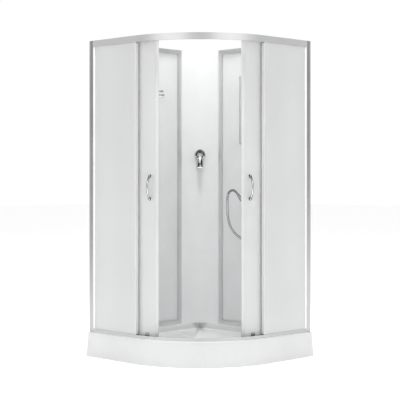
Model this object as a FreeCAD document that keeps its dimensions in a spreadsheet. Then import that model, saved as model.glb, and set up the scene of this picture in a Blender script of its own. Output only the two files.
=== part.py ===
import FreeCAD, Part
import Sketcher
import math
import os

# Quadrant shower enclosure, millimetres, +Z up. The origin lies on the floor, under the middle of the
# square that the tray's foot fits in. The room corner is at (-half, +half): the left wall is the plane
# X = -half, the rear wall is the plane Y = +half, and the entry arc faces +X -Y.
# Left and right are as seen by someone who stands in front of the entry.

doc = FreeCAD.newDocument("quadrant_shower")
sheet = doc.addObject("Spreadsheet::Sheet", "Dims")

DIMENSIONS = [
    # tray
    ("tray_foot", 990), ("tray_height", 150), ("tray_draft", 2), ("tray_skin", 5),
    ("basin_inset", 62), ("basin_depth", 55), ("basin_draft", 12), ("ledge_lip", 12), ("ledge_drop", 15),
    ("support_height", 30), ("support_width", 40), ("support_reach", 230), ("support_long", 700),
    ("support_start", 80),
    ("foot_pad_radius", 22), ("foot_pad_height", 9), ("foot_stud_radius", 5), ("foot_nut_radius", 9),
    ("foot_nut_height", 8),
    ("rim_round", 4), ("floor_round", 12),
    ("drain_across", 510), ("drain_radius", 45), ("drain_flange_radius", 56), ("drain_flange_thick", 3),
    ("drain_neck_radius", 43), ("drain_neck_length", 14), ("drain_slot_width", 4),
    ("trap_radius", 52), ("trap_height", 62), ("trap_wall", 3), ("trap_collar_radius", 27),
    ("trap_collar_end", 66.5), ("waste_pipe_radius", 20), ("waste_pipe_end", 410.5), ("waste_bore", 17.6),
    ("waste_pipe_height", 50),
    ("notch_width", 120), ("notch_height", 90),
    # entry frame
    ("frame_width", 970), ("frame_radius", 550), ("frame_straight", 420), ("frame_top", 1950),
    ("rail_wall", 2), ("rail_depth", 26.5), ("rail_lip", 1.5), ("rail_height", 40), ("sill_height", 20),
    ("glazing_inner", 11), ("glazing_outer", 9), ("track_rise", 10), ("track_lip", 14), ("drip_lip", 6),
    ("sill_wall_height", 18), ("sill_lip_height", 5.5),
    ("jamb_width", 33), ("jamb_depth", 40), ("jamb_wall", 2), ("post_width", 20), ("post_slot", 12),
    ("stop_past", 141.5), ("stop_length", 14), ("stop_height", 12),
    ("screw_radius", 4), ("screw_height", 2.2),
    ("glass", 4), ("glass_setback", 3.5), ("glass_reach", 428), ("glass_gap", 4), ("glass_top", 1930),
    ("edge_width", 13), ("edge_lip", 14), ("edge_skin", 1.5), ("edge_thick", 2),
    # rear wall panels
    ("panel_plane", 45), ("panel_depth", 25), ("panel_start", 217.5), ("panel_face", 37),
    ("panel_bottom", 135), ("panel_top", 1947), ("stile_width", 33), ("crossbar_height", 29),
    ("panel_groove", 9), ("cove_skin", 3), ("cove_flange", 22), ("valve_hole", 24),
    # doors
    ("door_face", 514), ("door_bottom", 156), ("door_top", 1944), ("door_start", 1.3), ("door_end", 48.5),
    ("door_open", 23.927), ("pole_across", 40.26), ("pole_ahead", -94.15),
    ("lead_wheel_at", 8.9), ("trail_wheel_at", 30.57), ("lead_wheel_track", 533.33),
    ("trail_wheel_track", 528.74),
    ("wheel_radius", 11), ("wheel_width", 4.5), ("wheel_rise", 21.3), ("wheel_bore", 3.2),
    ("spindle_radius", 3), ("spindle_shoulder", 4), ("guide_radius", 8), ("guide_rise", 10.4),
    ("roller_plate_width", 26), ("roller_plate_height", 30), ("roller_plate_thick", 4),
    ("roller_cap_radius", 11), ("roller_cap_height", 7), ("roller_bolt_radius", 3), ("hole_radius", 4),
    ("guide_bolt_rise", 24),
    ("seal_depth", 9), ("seal_grip", 10), ("seal_bead", 8), ("wiper_lip", 7),
    ("handle_at", 6.2), ("handle_centre", 1046), ("handle_half", 68), ("handle_reach", 38),
    ("handle_rod", 5.2), ("handle_post", 6.5), ("handle_post_length", 12), ("handle_foot", 9),
    # mixer
    ("mixer_height", 1253), ("mixer_plate_radius", 36.5), ("mixer_plate_thick", 7),
    ("mixer_plate_rim", 3), ("mixer_plate_bevel", 5), ("mixer_plate_hole", 20.3),
    ("valve_radius", 20), ("valve_length", 62), ("port_radius", 15), ("port_reach", 22),
    ("inlet_radius", 10.5), ("inlet_reach", 52),
    ("inlet_back", 45), ("stem_gap", 0.4), ("stem_neck_radius", 12), ("knuckle_ahead", 10),
    ("knuckle_radius", 18.5), ("knuckle_half", 4), ("knuckle_nose", 12), ("knuckle_nose_radius", 14.5),
    ("dome_inner", 20), ("dome_outer", 25), ("dome_rim_ahead", 1.5),
    ("pin_radius", 1.5), ("pin_bore", 1.55), ("pin_reach", 22.5), ("lever_length", 86),
    ("lever_top_width", 26), ("lever_tip_width", 44), ("lever_thick", 11), ("lever_ahead", 9),
    ("lever_round", 9), ("lever_groove_width", 8), ("lever_groove_depth", 2),
    # fittings on the right wall
    ("hose_radius", 7), ("hose_bore", 4.5), ("rib_pitch", 12), ("rib_height", 1),
    ("hose_first_run", 43), ("hose_last_run", 110),
    ("outlet_across", 474), ("outlet_height", 932), ("outlet_flange_radius", 25),
    ("outlet_flange_thick", 6), ("outlet_radius", 10), ("outlet_out", 66), ("outlet_rise", 34),
    ("outlet_tail_radius", 10.5), ("outlet_tail_length", 34), ("nut_wide", 12), ("nut_narrow", 8.5),
    ("nut_band", 12), ("nut_length", 50),
    ("holder_across", 720), ("holder_height", 1655), ("holder_stand", 118), ("handset_tilt", 15),
    ("holder_flange_radius", 24), ("holder_flange_thick", 7), ("holder_arm_radius", 9),
    ("holder_ring_outer", 20), ("holder_ring_height", 26), ("grip_taper_low", 0.3), ("grip_taper_high", 1.2),
    ("grip_low_radius", 11), ("grip_high_radius", 14), ("grip_below", 26), ("grip_length", 175),
    ("head_radius", 47), ("head_back", 30), ("head_thick", 32), ("head_rise", 160), ("head_lean", 97),
    ("head_ahead", 22),
    ("spray_radius", 41), ("spray_thick", 3), ("nozzle_radius", 1.6), ("nozzle_height", 1.5),
    ("mirror_start", 400), ("mirror_width", 240), ("mirror_bottom", 1323), ("mirror_height", 440),
    ("mirror_thick", 5), ("rod_height", 1597), ("rod_first", 462), ("rod_stand", 35), ("rod_radius", 3.5),
    ("ball_radius", 7), ("rod_post_inset", 20),
    # shelf on the left wall
    ("shelf_start", 463), ("shelf_length", 300), ("shelf_depth", 112), ("shelf_gap", 4),
    ("shelf_height", 1615), ("shelf_thick", 6), ("shelf_corner", 22), ("shelf_post_inset", 62),
    ("gallery_stand", 100),
    ("gallery_low", 1632), ("gallery_high", 1657), ("gallery_radius", 3), ("bracket_width", 18),
]


def fill_sheet():
    """Writes each driving dimension into a row of the sheet as a plain number with an alias."""
    for row, (alias, value) in enumerate(DIMENSIONS, start=1):
        sheet.set("A%d" % row, alias)
        sheet.set("B%d" % row, repr(value))
        sheet.setAlias("B%d" % row, alias)
    doc.recompute()


fill_sheet()


def dim(alias):
    """The value of one driving dimension."""
    return float(sheet.get(alias))


def named(expression):
    """An expression in plain alias names, written for a property of another object."""
    words = []
    word = ""
    for letter in expression + " ":
        if letter.isalnum() or letter in "_.":
            word += letter
            continue
        is_alias = word[:1].isalpha() and letter != "("
        words.append("Dims." + word if is_alias else word)
        words.append(letter)
        word = ""
    return "".join(words).strip()


def value(expression):
    """The number that an expression in alias names gives."""
    return float(sheet.evalExpression(named(expression)))


HALF = dim("tray_foot") / 2
ARC_CENTRE = FreeCAD.Vector(dim("frame_straight") - HALF, HALF - dim("frame_straight"), 0)
UP = FreeCAD.Vector(0, 0, 1)
FRONT = FreeCAD.Vector(1, -1, 0).normalize()
RIGHTWARD = FreeCAD.Vector(1, 1, 0).normalize()
SIDES = {"left": 1, "right": -1}

parts = []


def keep(item, label, placement=None):
    """Names a finished sub-part and puts it in place."""
    item.Label = label
    if placement is not None:
        item.Placement = placement
    parts.append(item)
    return item


def turn(axis, degrees):
    """A rotation about an axis through the origin."""
    return FreeCAD.Placement(FreeCAD.Vector(), FreeCAD.Rotation(axis, degrees))


def shift(x, y, z):
    """A move without a turn."""
    return FreeCAD.Placement(FreeCAD.Vector(x, y, z), FreeCAD.Rotation())


def wall_point(across, out, height):
    """A point given by its distance from the left wall, from the rear wall, and its height."""
    return FreeCAD.Vector(across - HALF, HALF - out, height)


def wall_shift(across, out, height):
    """A move to a point given by three expressions: across, out and height."""
    return FreeCAD.Placement(wall_point(value(across), value(out), value(height)), FreeCAD.Rotation())


def mirrored(side, point):
    """The same point on the left, or its mirror image across the entry's middle plane."""
    x, y = point
    if SIDES[side] > 0:
        return x, y
    return "-(%s)" % y, "-(%s)" % x


# ---------------------------------------------------------------- sketch and feature helpers

def new_body(name):
    """A PartDesign body."""
    return doc.addObject("PartDesign::Body", name)


def plane_sketch(body, role, name, offset=None):
    """A sketch on one of the body's own origin planes, moved along its normal by an expression."""
    sketch = body.newObject("Sketcher::SketchObject", name)
    plane = [item for item in body.Origin.OriginFeatures if item.Role == role][0]
    sketch.AttachmentSupport = [(plane, "")]
    sketch.MapMode = "FlatFace"
    if offset is not None:
        sketch.setExpression("AttachmentOffset.Base.z", named(offset))
    return sketch


def pin_point(sketch, index, end, point, name):
    """Holds one end of an edge at a place given by two expressions."""
    for axis, expression in zip("XY", point):
        distance = value(expression)
        row = sketch.addConstraint(Sketcher.Constraint("Distance" + axis, -1, 1, index, end, distance))
        sketch.renameConstraint(row, name + axis)
        sketch.setExpression("Constraints." + name + axis, named(expression))


def closed_outline(sketch, corners, prefix="p"):
    """A closed outline through corners given as expressions.

    A corner is (x, y), and the edge after it is straight, or (x, y, (centre x, centre y, radius)),
    and the edge after it is an arc of under half a circle about that centre.
    """
    spots = [FreeCAD.Vector(value(corner[0]), value(corner[1]), 0) for corner in corners]
    first = sketch.GeometryCount
    count = len(spots)
    for index, corner in enumerate(corners):
        begin = spots[index]
        end = spots[(index + 1) % count]
        if len(corner) == 2:
            sketch.addGeometry(Part.LineSegment(begin, end), False)
            continue
        across, along, radius = corner[2]
        middle = FreeCAD.Vector(value(across), value(along), 0)
        bulge = middle + ((begin + end) / 2 - middle).normalize() * value(radius)
        sketch.addGeometry(Part.Arc(begin, bulge, end), False)
    ends = [near_ends(sketch, first + index, spots[index]) for index in range(count)]
    for index in range(count):
        following = (index + 1) % count
        sketch.addConstraint(Sketcher.Constraint(
            "Coincident", first + index, ends[index][1], first + following, ends[following][0]))
    for index, corner in enumerate(corners):
        name = "%s%d" % (prefix, index)
        pin_point(sketch, first + index, ends[index][0], corner, name)
        if len(corner) == 3:
            radius = corner[2][2]
            row = sketch.addConstraint(Sketcher.Constraint("Radius", first + index, value(radius)))
            sketch.renameConstraint(row, name + "r")
            sketch.setExpression("Constraints." + name + "r", named(radius))


def near_ends(sketch, index, begin):
    """The numbers of an edge's two ends, the one at its beginning first."""
    if sketch.getPoint(index, 1).distanceToPoint(begin) < 0.001:
        return 1, 2
    return 2, 1


def circle(sketch, centre, radius, name):
    """A circle whose centre and radius are expressions."""
    middle = FreeCAD.Vector(value(centre[0]), value(centre[1]), 0)
    index = sketch.addGeometry(Part.Circle(middle, UP, value(radius)), False)
    pin_point(sketch, index, 3, centre, name + "c")
    row = sketch.addConstraint(Sketcher.Constraint("Radius", index, value(radius)))
    sketch.renameConstraint(row, name + "r")
    sketch.setExpression("Constraints." + name + "r", named(radius))


def pad(body, sketch, name, length, backwards=False, taper=None):
    """A pad whose length is an expression."""
    feature = body.newObject("PartDesign::Pad", name)
    feature.Profile = sketch
    feature.setExpression("Length", named(length))
    feature.Reversed = backwards
    if taper is not None:
        feature.setExpression("TaperAngle", named(taper))
    return feature


def pocket(body, sketch, name, length, backwards=False, taper=None):
    """A pocket whose depth is an expression."""
    feature = body.newObject("PartDesign::Pocket", name)
    feature.Profile = sketch
    feature.Type = "Length"
    feature.setExpression("Length", named(length))
    feature.Reversed = backwards
    if taper is not None:
        feature.setExpression("TaperAngle", named(taper))
    return feature


def revolve(body, sketch, name, angle, backwards=False, axis="V_Axis"):
    """A revolution of a sketch about one of its own axes."""
    feature = body.newObject("PartDesign::Revolution", name)
    feature.Profile = sketch
    feature.ReferenceAxis = (sketch, [axis])
    feature.setExpression("Angle", named(angle))
    feature.Reversed = backwards
    return feature


def cylinder(name, radius, height, placement):
    """A cylinder with its sizes as expressions."""
    item = doc.addObject("Part::Cylinder", name)
    item.setExpression("Radius", named(radius))
    item.setExpression("Height", named(height))
    item.Placement = placement
    return item


def cone(name, low, high, height, placement):
    """A cone with its sizes as expressions."""
    item = doc.addObject("Part::Cone", name)
    item.setExpression("Radius1", named(low))
    item.setExpression("Radius2", named(high))
    item.setExpression("Height", named(height))
    item.Placement = placement
    return item


def box(name, length, width, height, placement):
    """A box with its sizes as expressions."""
    item = doc.addObject("Part::Box", name)
    item.setExpression("Length", named(length))
    item.setExpression("Width", named(width))
    item.setExpression("Height", named(height))
    item.Placement = placement
    return item


def ball(name, radius, placement):
    """A sphere with its radius as an expression."""
    item = doc.addObject("Part::Sphere", name)
    item.setExpression("Radius", named(radius))
    item.Placement = placement
    return item


def joined(name, items):
    """One solid fused from several."""
    item = doc.addObject("Part::MultiFuse", name)
    item.Shapes = items
    return item


def cut(name, base, tools):
    """A solid with others taken out of it."""
    tool = tools[0]
    if len(tools) > 1:
        tool = joined(name + "_tools", tools)
    item = doc.addObject("Part::Cut", name)
    item.Base = base
    item.Tool = tool
    return item


def group(name, items):
    """Several separate solids that share one node."""
    item = doc.addObject("Part::Compound", name)
    item.Links = items
    return item


ALONG_X = turn(FreeCAD.Vector(0, 1, 0), 90)
ALONG_MINUS_X = turn(FreeCAD.Vector(0, 1, 0), -90)
ALONG_Y = turn(FreeCAD.Vector(1, 0, 0), -90)


# ---------------------------------------------------------------- tray

def plan_corners(inset):
    """The tray's plan, drawn in from the foot: two wall edges, two straight sides and the entry arc."""
    reach = "(tray_foot / 2 - (%s))" % inset
    start = "(frame_straight - tray_foot / 2)"
    arc = (start, "-" + start, "%s - %s" % (reach, start))
    return [("-" + reach, reach), ("-" + reach, "-" + reach), (start, "-" + reach, arc),
            (reach, "-" + start), (reach, reach)]


def inset_corner(across, out):
    """A plan point given by its distances from the left wall and the rear wall."""
    return "(%s) - tray_foot / 2" % across, "tray_foot / 2 - (%s)" % out


def ledge_corners(spare):
    """The rear ledge's plan, an L along both walls, made wider by a given amount."""
    near = "ledge_lip - (%s)" % spare
    inner = "basin_inset + ledge_lip + (%s)" % spare
    end = "frame_width - jamb_depth + (%s)" % spare
    return [inset_corner(near, near), inset_corner(end, near), inset_corner(end, inner),
            inset_corner(inner, inner), inset_corner(inner, end), inset_corner(near, end)]


def rounded_edges(body, feature, name, radius, height):
    """Rounds every edge of a feature that lies level at one height."""
    doc.recompute()
    level = value(height)
    names = []
    for number, edge in enumerate(feature.Shape.Edges, start=1):
        if edge.BoundBox.ZLength < 0.01 and abs(edge.BoundBox.ZMin - level) < 0.01:
            names.append("Edge%d" % number)
    fillet = body.newObject("PartDesign::Fillet", name)
    fillet.Base = (feature, names)
    fillet.setExpression("Radius", named(radius))
    return fillet


def tray_block(name, corners, base, height, taper=None, backwards=False):
    """One drafted block of the tray's form."""
    body = new_body(name + "_body")
    plan = plane_sketch(body, "XY_Plane", name + "_plan", base)
    closed_outline(plan, corners)
    pad(body, plan, name, height, backwards=backwards, taper=taper)
    return body


def make_tray():
    """The acrylic tray: a drafted skirt, a sunk basin and a rear ledge, hollow from below."""
    body = new_body("tray_body")
    outline = plane_sketch(body, "XY_Plane", "tray_plan")
    closed_outline(outline, plan_corners("0"))
    pad(body, outline, "skirt", "tray_height", taper="-tray_draft")
    basin = plane_sketch(body, "XY_Plane", "basin_plan", "tray_height")
    closed_outline(basin, plan_corners("basin_inset"))
    sunk = pocket(body, basin, "basin", "basin_depth", taper="-basin_draft")
    rim = rounded_edges(body, sunk, "rim_rounding", "rim_round", "tray_height")
    rounded_edges(body, rim, "floor_rounding", "floor_round", "tray_height - basin_depth")
    ledge = plane_sketch(body, "XY_Plane", "ledge_plan", "tray_height")
    closed_outline(ledge, ledge_corners("0"))
    pocket(body, ledge, "rear_ledge", "ledge_drop")
    drain = plane_sketch(body, "XY_Plane", "drain_plan", "tray_height")
    circle(drain, inset_corner("drain_across", "drain_across"), "drain_radius", "d")
    pocket(body, drain, "drain_hole", "tray_height")

    inner = tray_block("inner", plan_corners("tray_skin"), "0", "tray_height - tray_skin", "-tray_draft")
    basin_form = tray_block("basin_form", plan_corners("basin_inset - tray_skin"), "tray_height",
                            "basin_depth + tray_skin", "-basin_draft", backwards=True)
    ledge_form = tray_block("ledge_form", ledge_corners("tray_skin"), "tray_height",
                            "ledge_drop + tray_skin", backwards=True)
    hollow = cut("hollow", inner, [basin_form, ledge_form])
    notch = box("pipe_notch", "notch_width", "basin_inset", "notch_height",
                wall_shift("drain_across - notch_width / 2", "basin_inset / 2", "0"))
    keep(cut("tray", body, [hollow, notch]), "shower_tray")


def make_support():
    """The welded steel bearers under the basin, on five levelling feet."""
    low = "tray_height - basin_depth - tray_skin - support_height"
    base = value(low)
    half = value("support_width / 2")
    reach = value("support_reach")
    near = value("tray_foot / 2 - support_start - support_long")
    far = value("tray_foot / 2 - support_start")
    cross = -value("support_width * 3.5")
    members = [box("bearer_cross", "support_reach * 2", "support_width", "support_height",
                   shift(-reach, cross - half, base))]
    for index, x in enumerate((-reach, reach)):
        members.append(box("bearer_%d" % index, "support_width", "support_long", "support_height",
                           shift(x - half, near, base)))
    keep(joined("support_bars", members), "tray_support")
    first = near + half
    last = far - half
    spots = [(-reach, first), (reach, first), (-reach, last), (reach, last), (0, cross)]
    feet = []
    for index, (x, y) in enumerate(spots):
        pad_disc = cone("foot_pad_%d" % index, "foot_pad_radius", "foot_pad_radius * 0.8",
                        "foot_pad_height", shift(x, y, 0))
        stud = cylinder("foot_stud_%d" % index, "foot_stud_radius", low, shift(x, y, 0))
        nut = doc.addObject("Part::Prism", "foot_nut_%d" % index)
        nut.Polygon = 6
        nut.setExpression("Circumradius", named("foot_nut_radius"))
        nut.setExpression("Height", named("foot_nut_height"))
        nut.Placement = shift(x, y, base - value("foot_nut_height"))
        feet.append(joined("foot_%d" % index, [pad_disc, stud, nut]))
    keep(group("feet", feet), "tray_feet")


def make_drain():
    """The waste: a slotted cover on the basin floor, and the trap with its pipe under it."""
    spot = value("drain_across") - HALF
    basin_floor = value("tray_height - basin_depth")
    body = new_body("cover_body")
    section = plane_sketch(body, "XZ_Plane", "cover_section")
    bore = "drain_neck_radius - trap_wall"
    closed_outline(section, [
        ("0", "0"), (bore, "0"), (bore, "-drain_neck_length"),
        ("drain_neck_radius", "-drain_neck_length"), ("drain_neck_radius", "0"), ("drain_flange_radius", "0"),
        ("drain_flange_radius - drain_flange_thick", "drain_flange_thick"), ("0", "drain_flange_thick * 2")])
    revolve(body, section, "cover", "360")
    slots = plane_sketch(body, "XY_Plane", "slot_plan", "-drain_flange_thick")
    for index, across in enumerate(("-24", "-12", "0", "12", "24")):
        closed_outline(slots, [
            (across + " - drain_slot_width / 2", "-drain_neck_radius * 0.6"),
            (across + " + drain_slot_width / 2", "-drain_neck_radius * 0.6"),
            (across + " + drain_slot_width / 2", "drain_neck_radius * 0.6"),
            (across + " - drain_slot_width / 2", "drain_neck_radius * 0.6")], "s%d" % index)
    pocket(body, slots, "slots", "drain_flange_thick * 4", backwards=True)
    keep(body, "drain_cover", shift(spot, -spot, basin_floor))

    cup = new_body("trap_body")
    section = plane_sketch(cup, "XZ_Plane", "trap_section")
    under = "-tray_skin"
    bottom = "-tray_skin - trap_height"
    closed_outline(section, [
        ("0", bottom), ("trap_radius - trap_wall", bottom), ("trap_radius", bottom + " + trap_wall"),
        ("trap_radius", under), ("drain_radius", under), ("drain_radius", under + " - trap_wall"),
        ("trap_radius - trap_wall", under + " - trap_wall"),
        ("trap_radius - trap_wall", bottom + " + trap_wall"), ("0", bottom + " + trap_wall")])
    revolve(cup, section, "trap", "360")
    way_out = shift(0, 0, value("waste_pipe_height - tray_height + basin_depth")) * ALONG_Y
    collar = cylinder("trap_collar", "trap_collar_radius", "trap_collar_end", way_out)
    pipe = cylinder("waste_pipe", "waste_pipe_radius", "waste_pipe_end", way_out)
    bore = cylinder("waste_pipe_bore", "waste_bore", "waste_pipe_end + trap_radius", way_out)
    chamber = cylinder("trap_chamber", "trap_radius - trap_wall", "trap_height - trap_wall * 2",
                       shift(0, 0, value(bottom + " + trap_wall")))
    solid = joined("trap_and_pipe", [cup, collar, pipe])
    keep(cut("trap_bored", solid, [bore, chamber]), "drain_trap", shift(spot, -spot, basin_floor))


# ---------------------------------------------------------------- entry frame

def rail_corners(sign, bottom, kind):
    """A rail's section: distance from the arc's centre, and height. A sign of -1 turns it over."""
    def at(depth, height):
        radius = "frame_radius - (%s)" % depth
        if sign < 0:
            radius = "-(%s)" % radius
        return radius, height
    if kind == "top":
        ledge = "frame_top - rail_height + track_rise"
        lip = "frame_top - rail_height + track_lip"
        roof = "frame_top - rail_wall"
        return [at("0", bottom), at("0", "frame_top"), at("rail_depth", "frame_top"),
                at("rail_depth", "frame_top - drip_lip"), at("rail_depth - rail_lip", "frame_top - drip_lip"),
                at("rail_depth - rail_lip", roof), at("glazing_inner", roof), at("glazing_inner", ledge),
                at("rail_depth - rail_lip", ledge), at("rail_depth - rail_lip", lip), at("rail_depth", lip),
                at("rail_depth", ledge + " - rail_wall"), at("glazing_inner", ledge + " - rail_wall"),
                at("glazing_inner", bottom), at("glazing_outer", bottom), at("glazing_outer", roof),
                at("rail_wall", roof), at("rail_wall", bottom)]
    base = bottom + " + rail_wall"
    wall = bottom + " + sill_wall_height"
    lip = bottom + " + sill_lip_height"
    return [at("0", bottom), at("0", bottom + " + sill_height"), at("rail_wall", bottom + " + sill_height"),
            at("rail_wall", base), at("glazing_outer", base), at("glazing_outer", wall),
            at("glazing_inner", wall), at("glazing_inner", base), at("rail_depth - rail_lip", base),
            at("rail_depth - rail_lip", lip), at("rail_depth", lip), at("rail_depth", bottom)]


def make_rail(label, kind, bottom):
    """A bent rail: a quarter circle with a straight leg to each jamb, all of one section."""
    body = new_body(label + "_body")
    straight = "frame_straight - jamb_width"
    section = plane_sketch(body, "XZ_Plane", label + "_section")
    closed_outline(section, rail_corners(1, bottom, kind))
    pad(body, section, label + "_right_leg", straight, backwards=True)
    bent = plane_sketch(body, "XZ_Plane", label + "_bend_section")
    closed_outline(bent, rail_corners(1, bottom, kind))
    revolve(body, bent, label + "_bend", "90", backwards=True)
    far = plane_sketch(body, "YZ_Plane", label + "_far_section")
    closed_outline(far, rail_corners(-1, bottom, kind))
    pad(body, far, label + "_left_leg", straight, backwards=True)
    keep(body, label, FreeCAD.Placement(ARC_CENTRE, FreeCAD.Rotation()))


def side_outline(sketch, side, corners):
    """An outline drawn for the left side in wall distances, or its mirror image for the right side."""
    plain = [mirrored(side, inset_corner(across, out)) for across, out in corners]
    closed_outline(sketch, plain)


def make_jambs():
    """The corner posts: a box section with a channel that takes the glazing post."""
    front = "frame_width"
    back = "frame_width - jamb_depth"
    channel = "glass_setback - rail_wall"
    for side in SIDES:
        body = new_body(side + "_jamb_body")
        section = plane_sketch(body, "XY_Plane", side + "_jamb_section", "tray_height")
        side_outline(section, side, [
            ("0", back), ("jamb_width", back), ("jamb_width", front), ("0", front)])
        pad(body, section, side + "_jamb_pad", "frame_top - tray_height")
        hollow = plane_sketch(body, "XY_Plane", side + "_jamb_hollow", "tray_height")
        side_outline(hollow, side, [
            ("jamb_wall", back + " + jamb_wall"), ("jamb_width / 2", back + " + jamb_wall"),
            ("jamb_width / 2", front + " - jamb_wall"), ("jamb_wall", front + " - jamb_wall")])
        pocket(body, hollow, side + "_jamb_bore", "frame_top - tray_height", backwards=True)
        groove = plane_sketch(body, "XY_Plane", side + "_jamb_groove", "tray_height")
        side_outline(groove, side, [
            ("jamb_width / 2 + jamb_wall", back + " + jamb_wall"), ("jamb_width", back + " + jamb_wall"),
            ("jamb_width", front + " - rail_depth + rail_wall"),
            ("jamb_width / 2 + jamb_wall", front + " - rail_depth + rail_wall")])
        pocket(body, groove, side + "_jamb_slot", "frame_top - tray_height", backwards=True)
        keep(body, side + "_jamb")

        post = new_body(side + "_post_body")
        section = plane_sketch(post, "XY_Plane", side + "_post_section", "tray_height + sill_height")
        outer = "frame_width - glass_setback + glass_setback / 2"
        inner = "frame_width - rail_depth + glass_setback"
        face = "frame_width - glass_setback"
        side_outline(section, side, [
            ("jamb_width", inner), ("jamb_width + post_width", inner),
            ("jamb_width + post_width", face + " - glass"),
            ("jamb_width + post_width - post_slot", face + " - glass"),
            ("jamb_width + post_width - post_slot", face),
            ("jamb_width + post_width", face), ("jamb_width + post_width", outer), ("jamb_width", outer)])
        pad(post, section, side + "_post_pad", "frame_top - rail_height - tray_height - sill_height")
        keep(post, side + "_glazing_post")


def make_fixed_glass():
    """The two flat fixed panes, each with a seal profile on its free edge."""
    face = "frame_width - glass_setback"
    back = face + " - glass"
    start = "jamb_width + post_width - post_slot"
    for side in SIDES:
        body = new_body(side + "_pane_body")
        section = plane_sketch(body, "XY_Plane", side + "_pane_section", "tray_height + glass_gap")
        side_outline(section, side, [
            (start, back), ("glass_reach", back), ("glass_reach", face), (start, face)])
        pad(body, section, side + "_pane_pad", "glass_top - tray_height - glass_gap")
        keep(body, side + "_fixed_glass")

        edge = new_body(side + "_edge_body")
        bottom = "tray_height + sill_height + glass_gap"
        section = plane_sketch(edge, "XY_Plane", side + "_edge_section", bottom)
        end = "glass_reach + edge_thick"
        side_outline(section, side, [
            ("glass_reach - edge_width + edge_thick", face), ("glass_reach", face), ("glass_reach", back),
            ("glass_reach - edge_width + edge_thick", back),
            ("glass_reach - edge_width + edge_thick", back + " - edge_skin"),
            ("glass_reach", back + " - edge_skin"), ("glass_reach", back + " - edge_lip"),
            (end, back + " - edge_lip"), (end, face + " + edge_skin"),
            ("glass_reach - edge_width + edge_thick", face + " + edge_skin")])
        pad(edge, section, side + "_edge_pad",
            "frame_top - rail_height - tray_height - sill_height - glass_gap * 2")
        keep(edge, side + "_edge_seal")


def make_frame_hardware():
    """The rubber door stops in the top rail's track, and the screws that hold the rails to the jambs."""
    stops = []
    screws = []
    track = value("frame_top - rail_height + track_rise")
    out = value("frame_width - rail_depth + rail_lip + 0.4")
    deep = "rail_depth - rail_lip - glazing_inner - 0.8"
    tail = value("frame_straight - stop_past")
    for side in SIDES:
        if side == "left":
            spot = shift(tail - value("stop_length") - HALF, HALF - out - value(deep), track)
            stops.append(box("stop_" + side, "stop_length", deep, "stop_height", spot))
        else:
            spot = shift(out - HALF, HALF - tail, track)
            stops.append(box("stop_" + side, deep, "stop_length", "stop_height", spot))
        for height in ("tray_height + sill_height / 2", "frame_top - rail_height / 2", "frame_top / 2"):
            x, y = (value(word) for word in mirrored(side, inset_corner("jamb_width / 4", "frame_width")))
            head = cone("screw_" + side, "screw_radius", "screw_radius * 0.6", "screw_height",
                        shift(x, y, value(height)))
            axis = FreeCAD.Vector(0, -1, 0) if side == "left" else FreeCAD.Vector(1, 0, 0)
            spot = FreeCAD.Vector(x, y, value(height))
            head.Placement = FreeCAD.Placement(spot, FreeCAD.Rotation(UP, axis))
            screws.append(head)
    keep(group("stops", stops), "door_stops")
    keep(group("screws", screws), "frame_screws")


# ---------------------------------------------------------------- rear walls

def wall_place(side, across=0.0, out=0.0, height=0.0):
    """The place of a piece built with X along the wall, away from the room corner.

    The right wall's pieces are built towards -Y, and the left wall's towards +Y.
    """
    corner = FreeCAD.Vector(-HALF, HALF, 0)
    if side == "right":
        return FreeCAD.Placement(corner, FreeCAD.Rotation()) * shift(across, -out, height)
    return FreeCAD.Placement(corner, FreeCAD.Rotation(UP, -90)) * shift(across, out, height)


def outward(side):
    """Turns a piece built along +Z so that it points out of the wall."""
    return turn(FreeCAD.Vector(1, 0, 0), 90 if side == "right" else -90)


def wall_pad(side, name, corners, start, depth):
    """A slab drawn flat on a wall, from one distance out of it over a depth."""
    body = new_body(name + "_body")
    right = side == "right"
    offset = start if right else "-(%s)" % start
    sketch = plane_sketch(body, "XZ_Plane", name + "_face", offset)
    closed_outline(sketch, corners)
    pad(body, sketch, name + "_pad", depth, backwards=not right)
    return body


def rectangle(left, right, low, high):
    """The four corners of a rectangle."""
    return [(left, low), (right, low), (right, high), (left, high)]


def make_wall_panels():
    """Each rear wall: a ring of aluminium extrusion with a white glass panel in its groove."""
    end = "frame_width - jamb_depth"
    for side in SIDES:
        right = side == "right"
        base = "panel_plane - panel_depth"
        body = wall_pad(side, side + "_ring", rectangle("panel_start", end, "panel_bottom", "panel_top"),
                        base, "panel_depth")
        offset = "panel_plane" if right else "-panel_plane"
        window = plane_sketch(body, "XZ_Plane", side + "_window", offset)
        closed_outline(window, rectangle("panel_start + stile_width", end + " - stile_width",
                                         "panel_bottom + crossbar_height", "panel_top - crossbar_height"))
        pocket(body, window, side + "_window_cut", "panel_depth", backwards=not right)
        groove = plane_sketch(body, "XZ_Plane", side + "_groove", "panel_face" if right else "-panel_face")
        closed_outline(groove, rectangle(
            "panel_start + stile_width - panel_groove", end + " - stile_width + panel_groove",
            "panel_bottom + crossbar_height - panel_groove", "panel_top - crossbar_height + panel_groove"))
        pocket(body, groove, side + "_groove_cut", "glass", backwards=not right)
        keep(body, side + "_wall_frame", wall_place(side))

        pane = wall_pad(side, side + "_wall_pane", rectangle(
            "panel_start + stile_width - panel_groove", end + " - stile_width + panel_groove",
            "panel_bottom + crossbar_height - panel_groove", "panel_top - crossbar_height + panel_groove"),
            "panel_face - glass", "glass")
        if right:
            hole = cylinder("outlet_hole", "outlet_tail_radius + 0.5", "glass * 3",
                            shift(value("outlet_across"), -value("panel_face - glass * 2"),
                                  value("outlet_height")) * outward(side))
            pane = cut("right_wall_pane_drilled", pane, [hole])
        keep(pane, side + "_wall_glass", wall_place(side))


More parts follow.
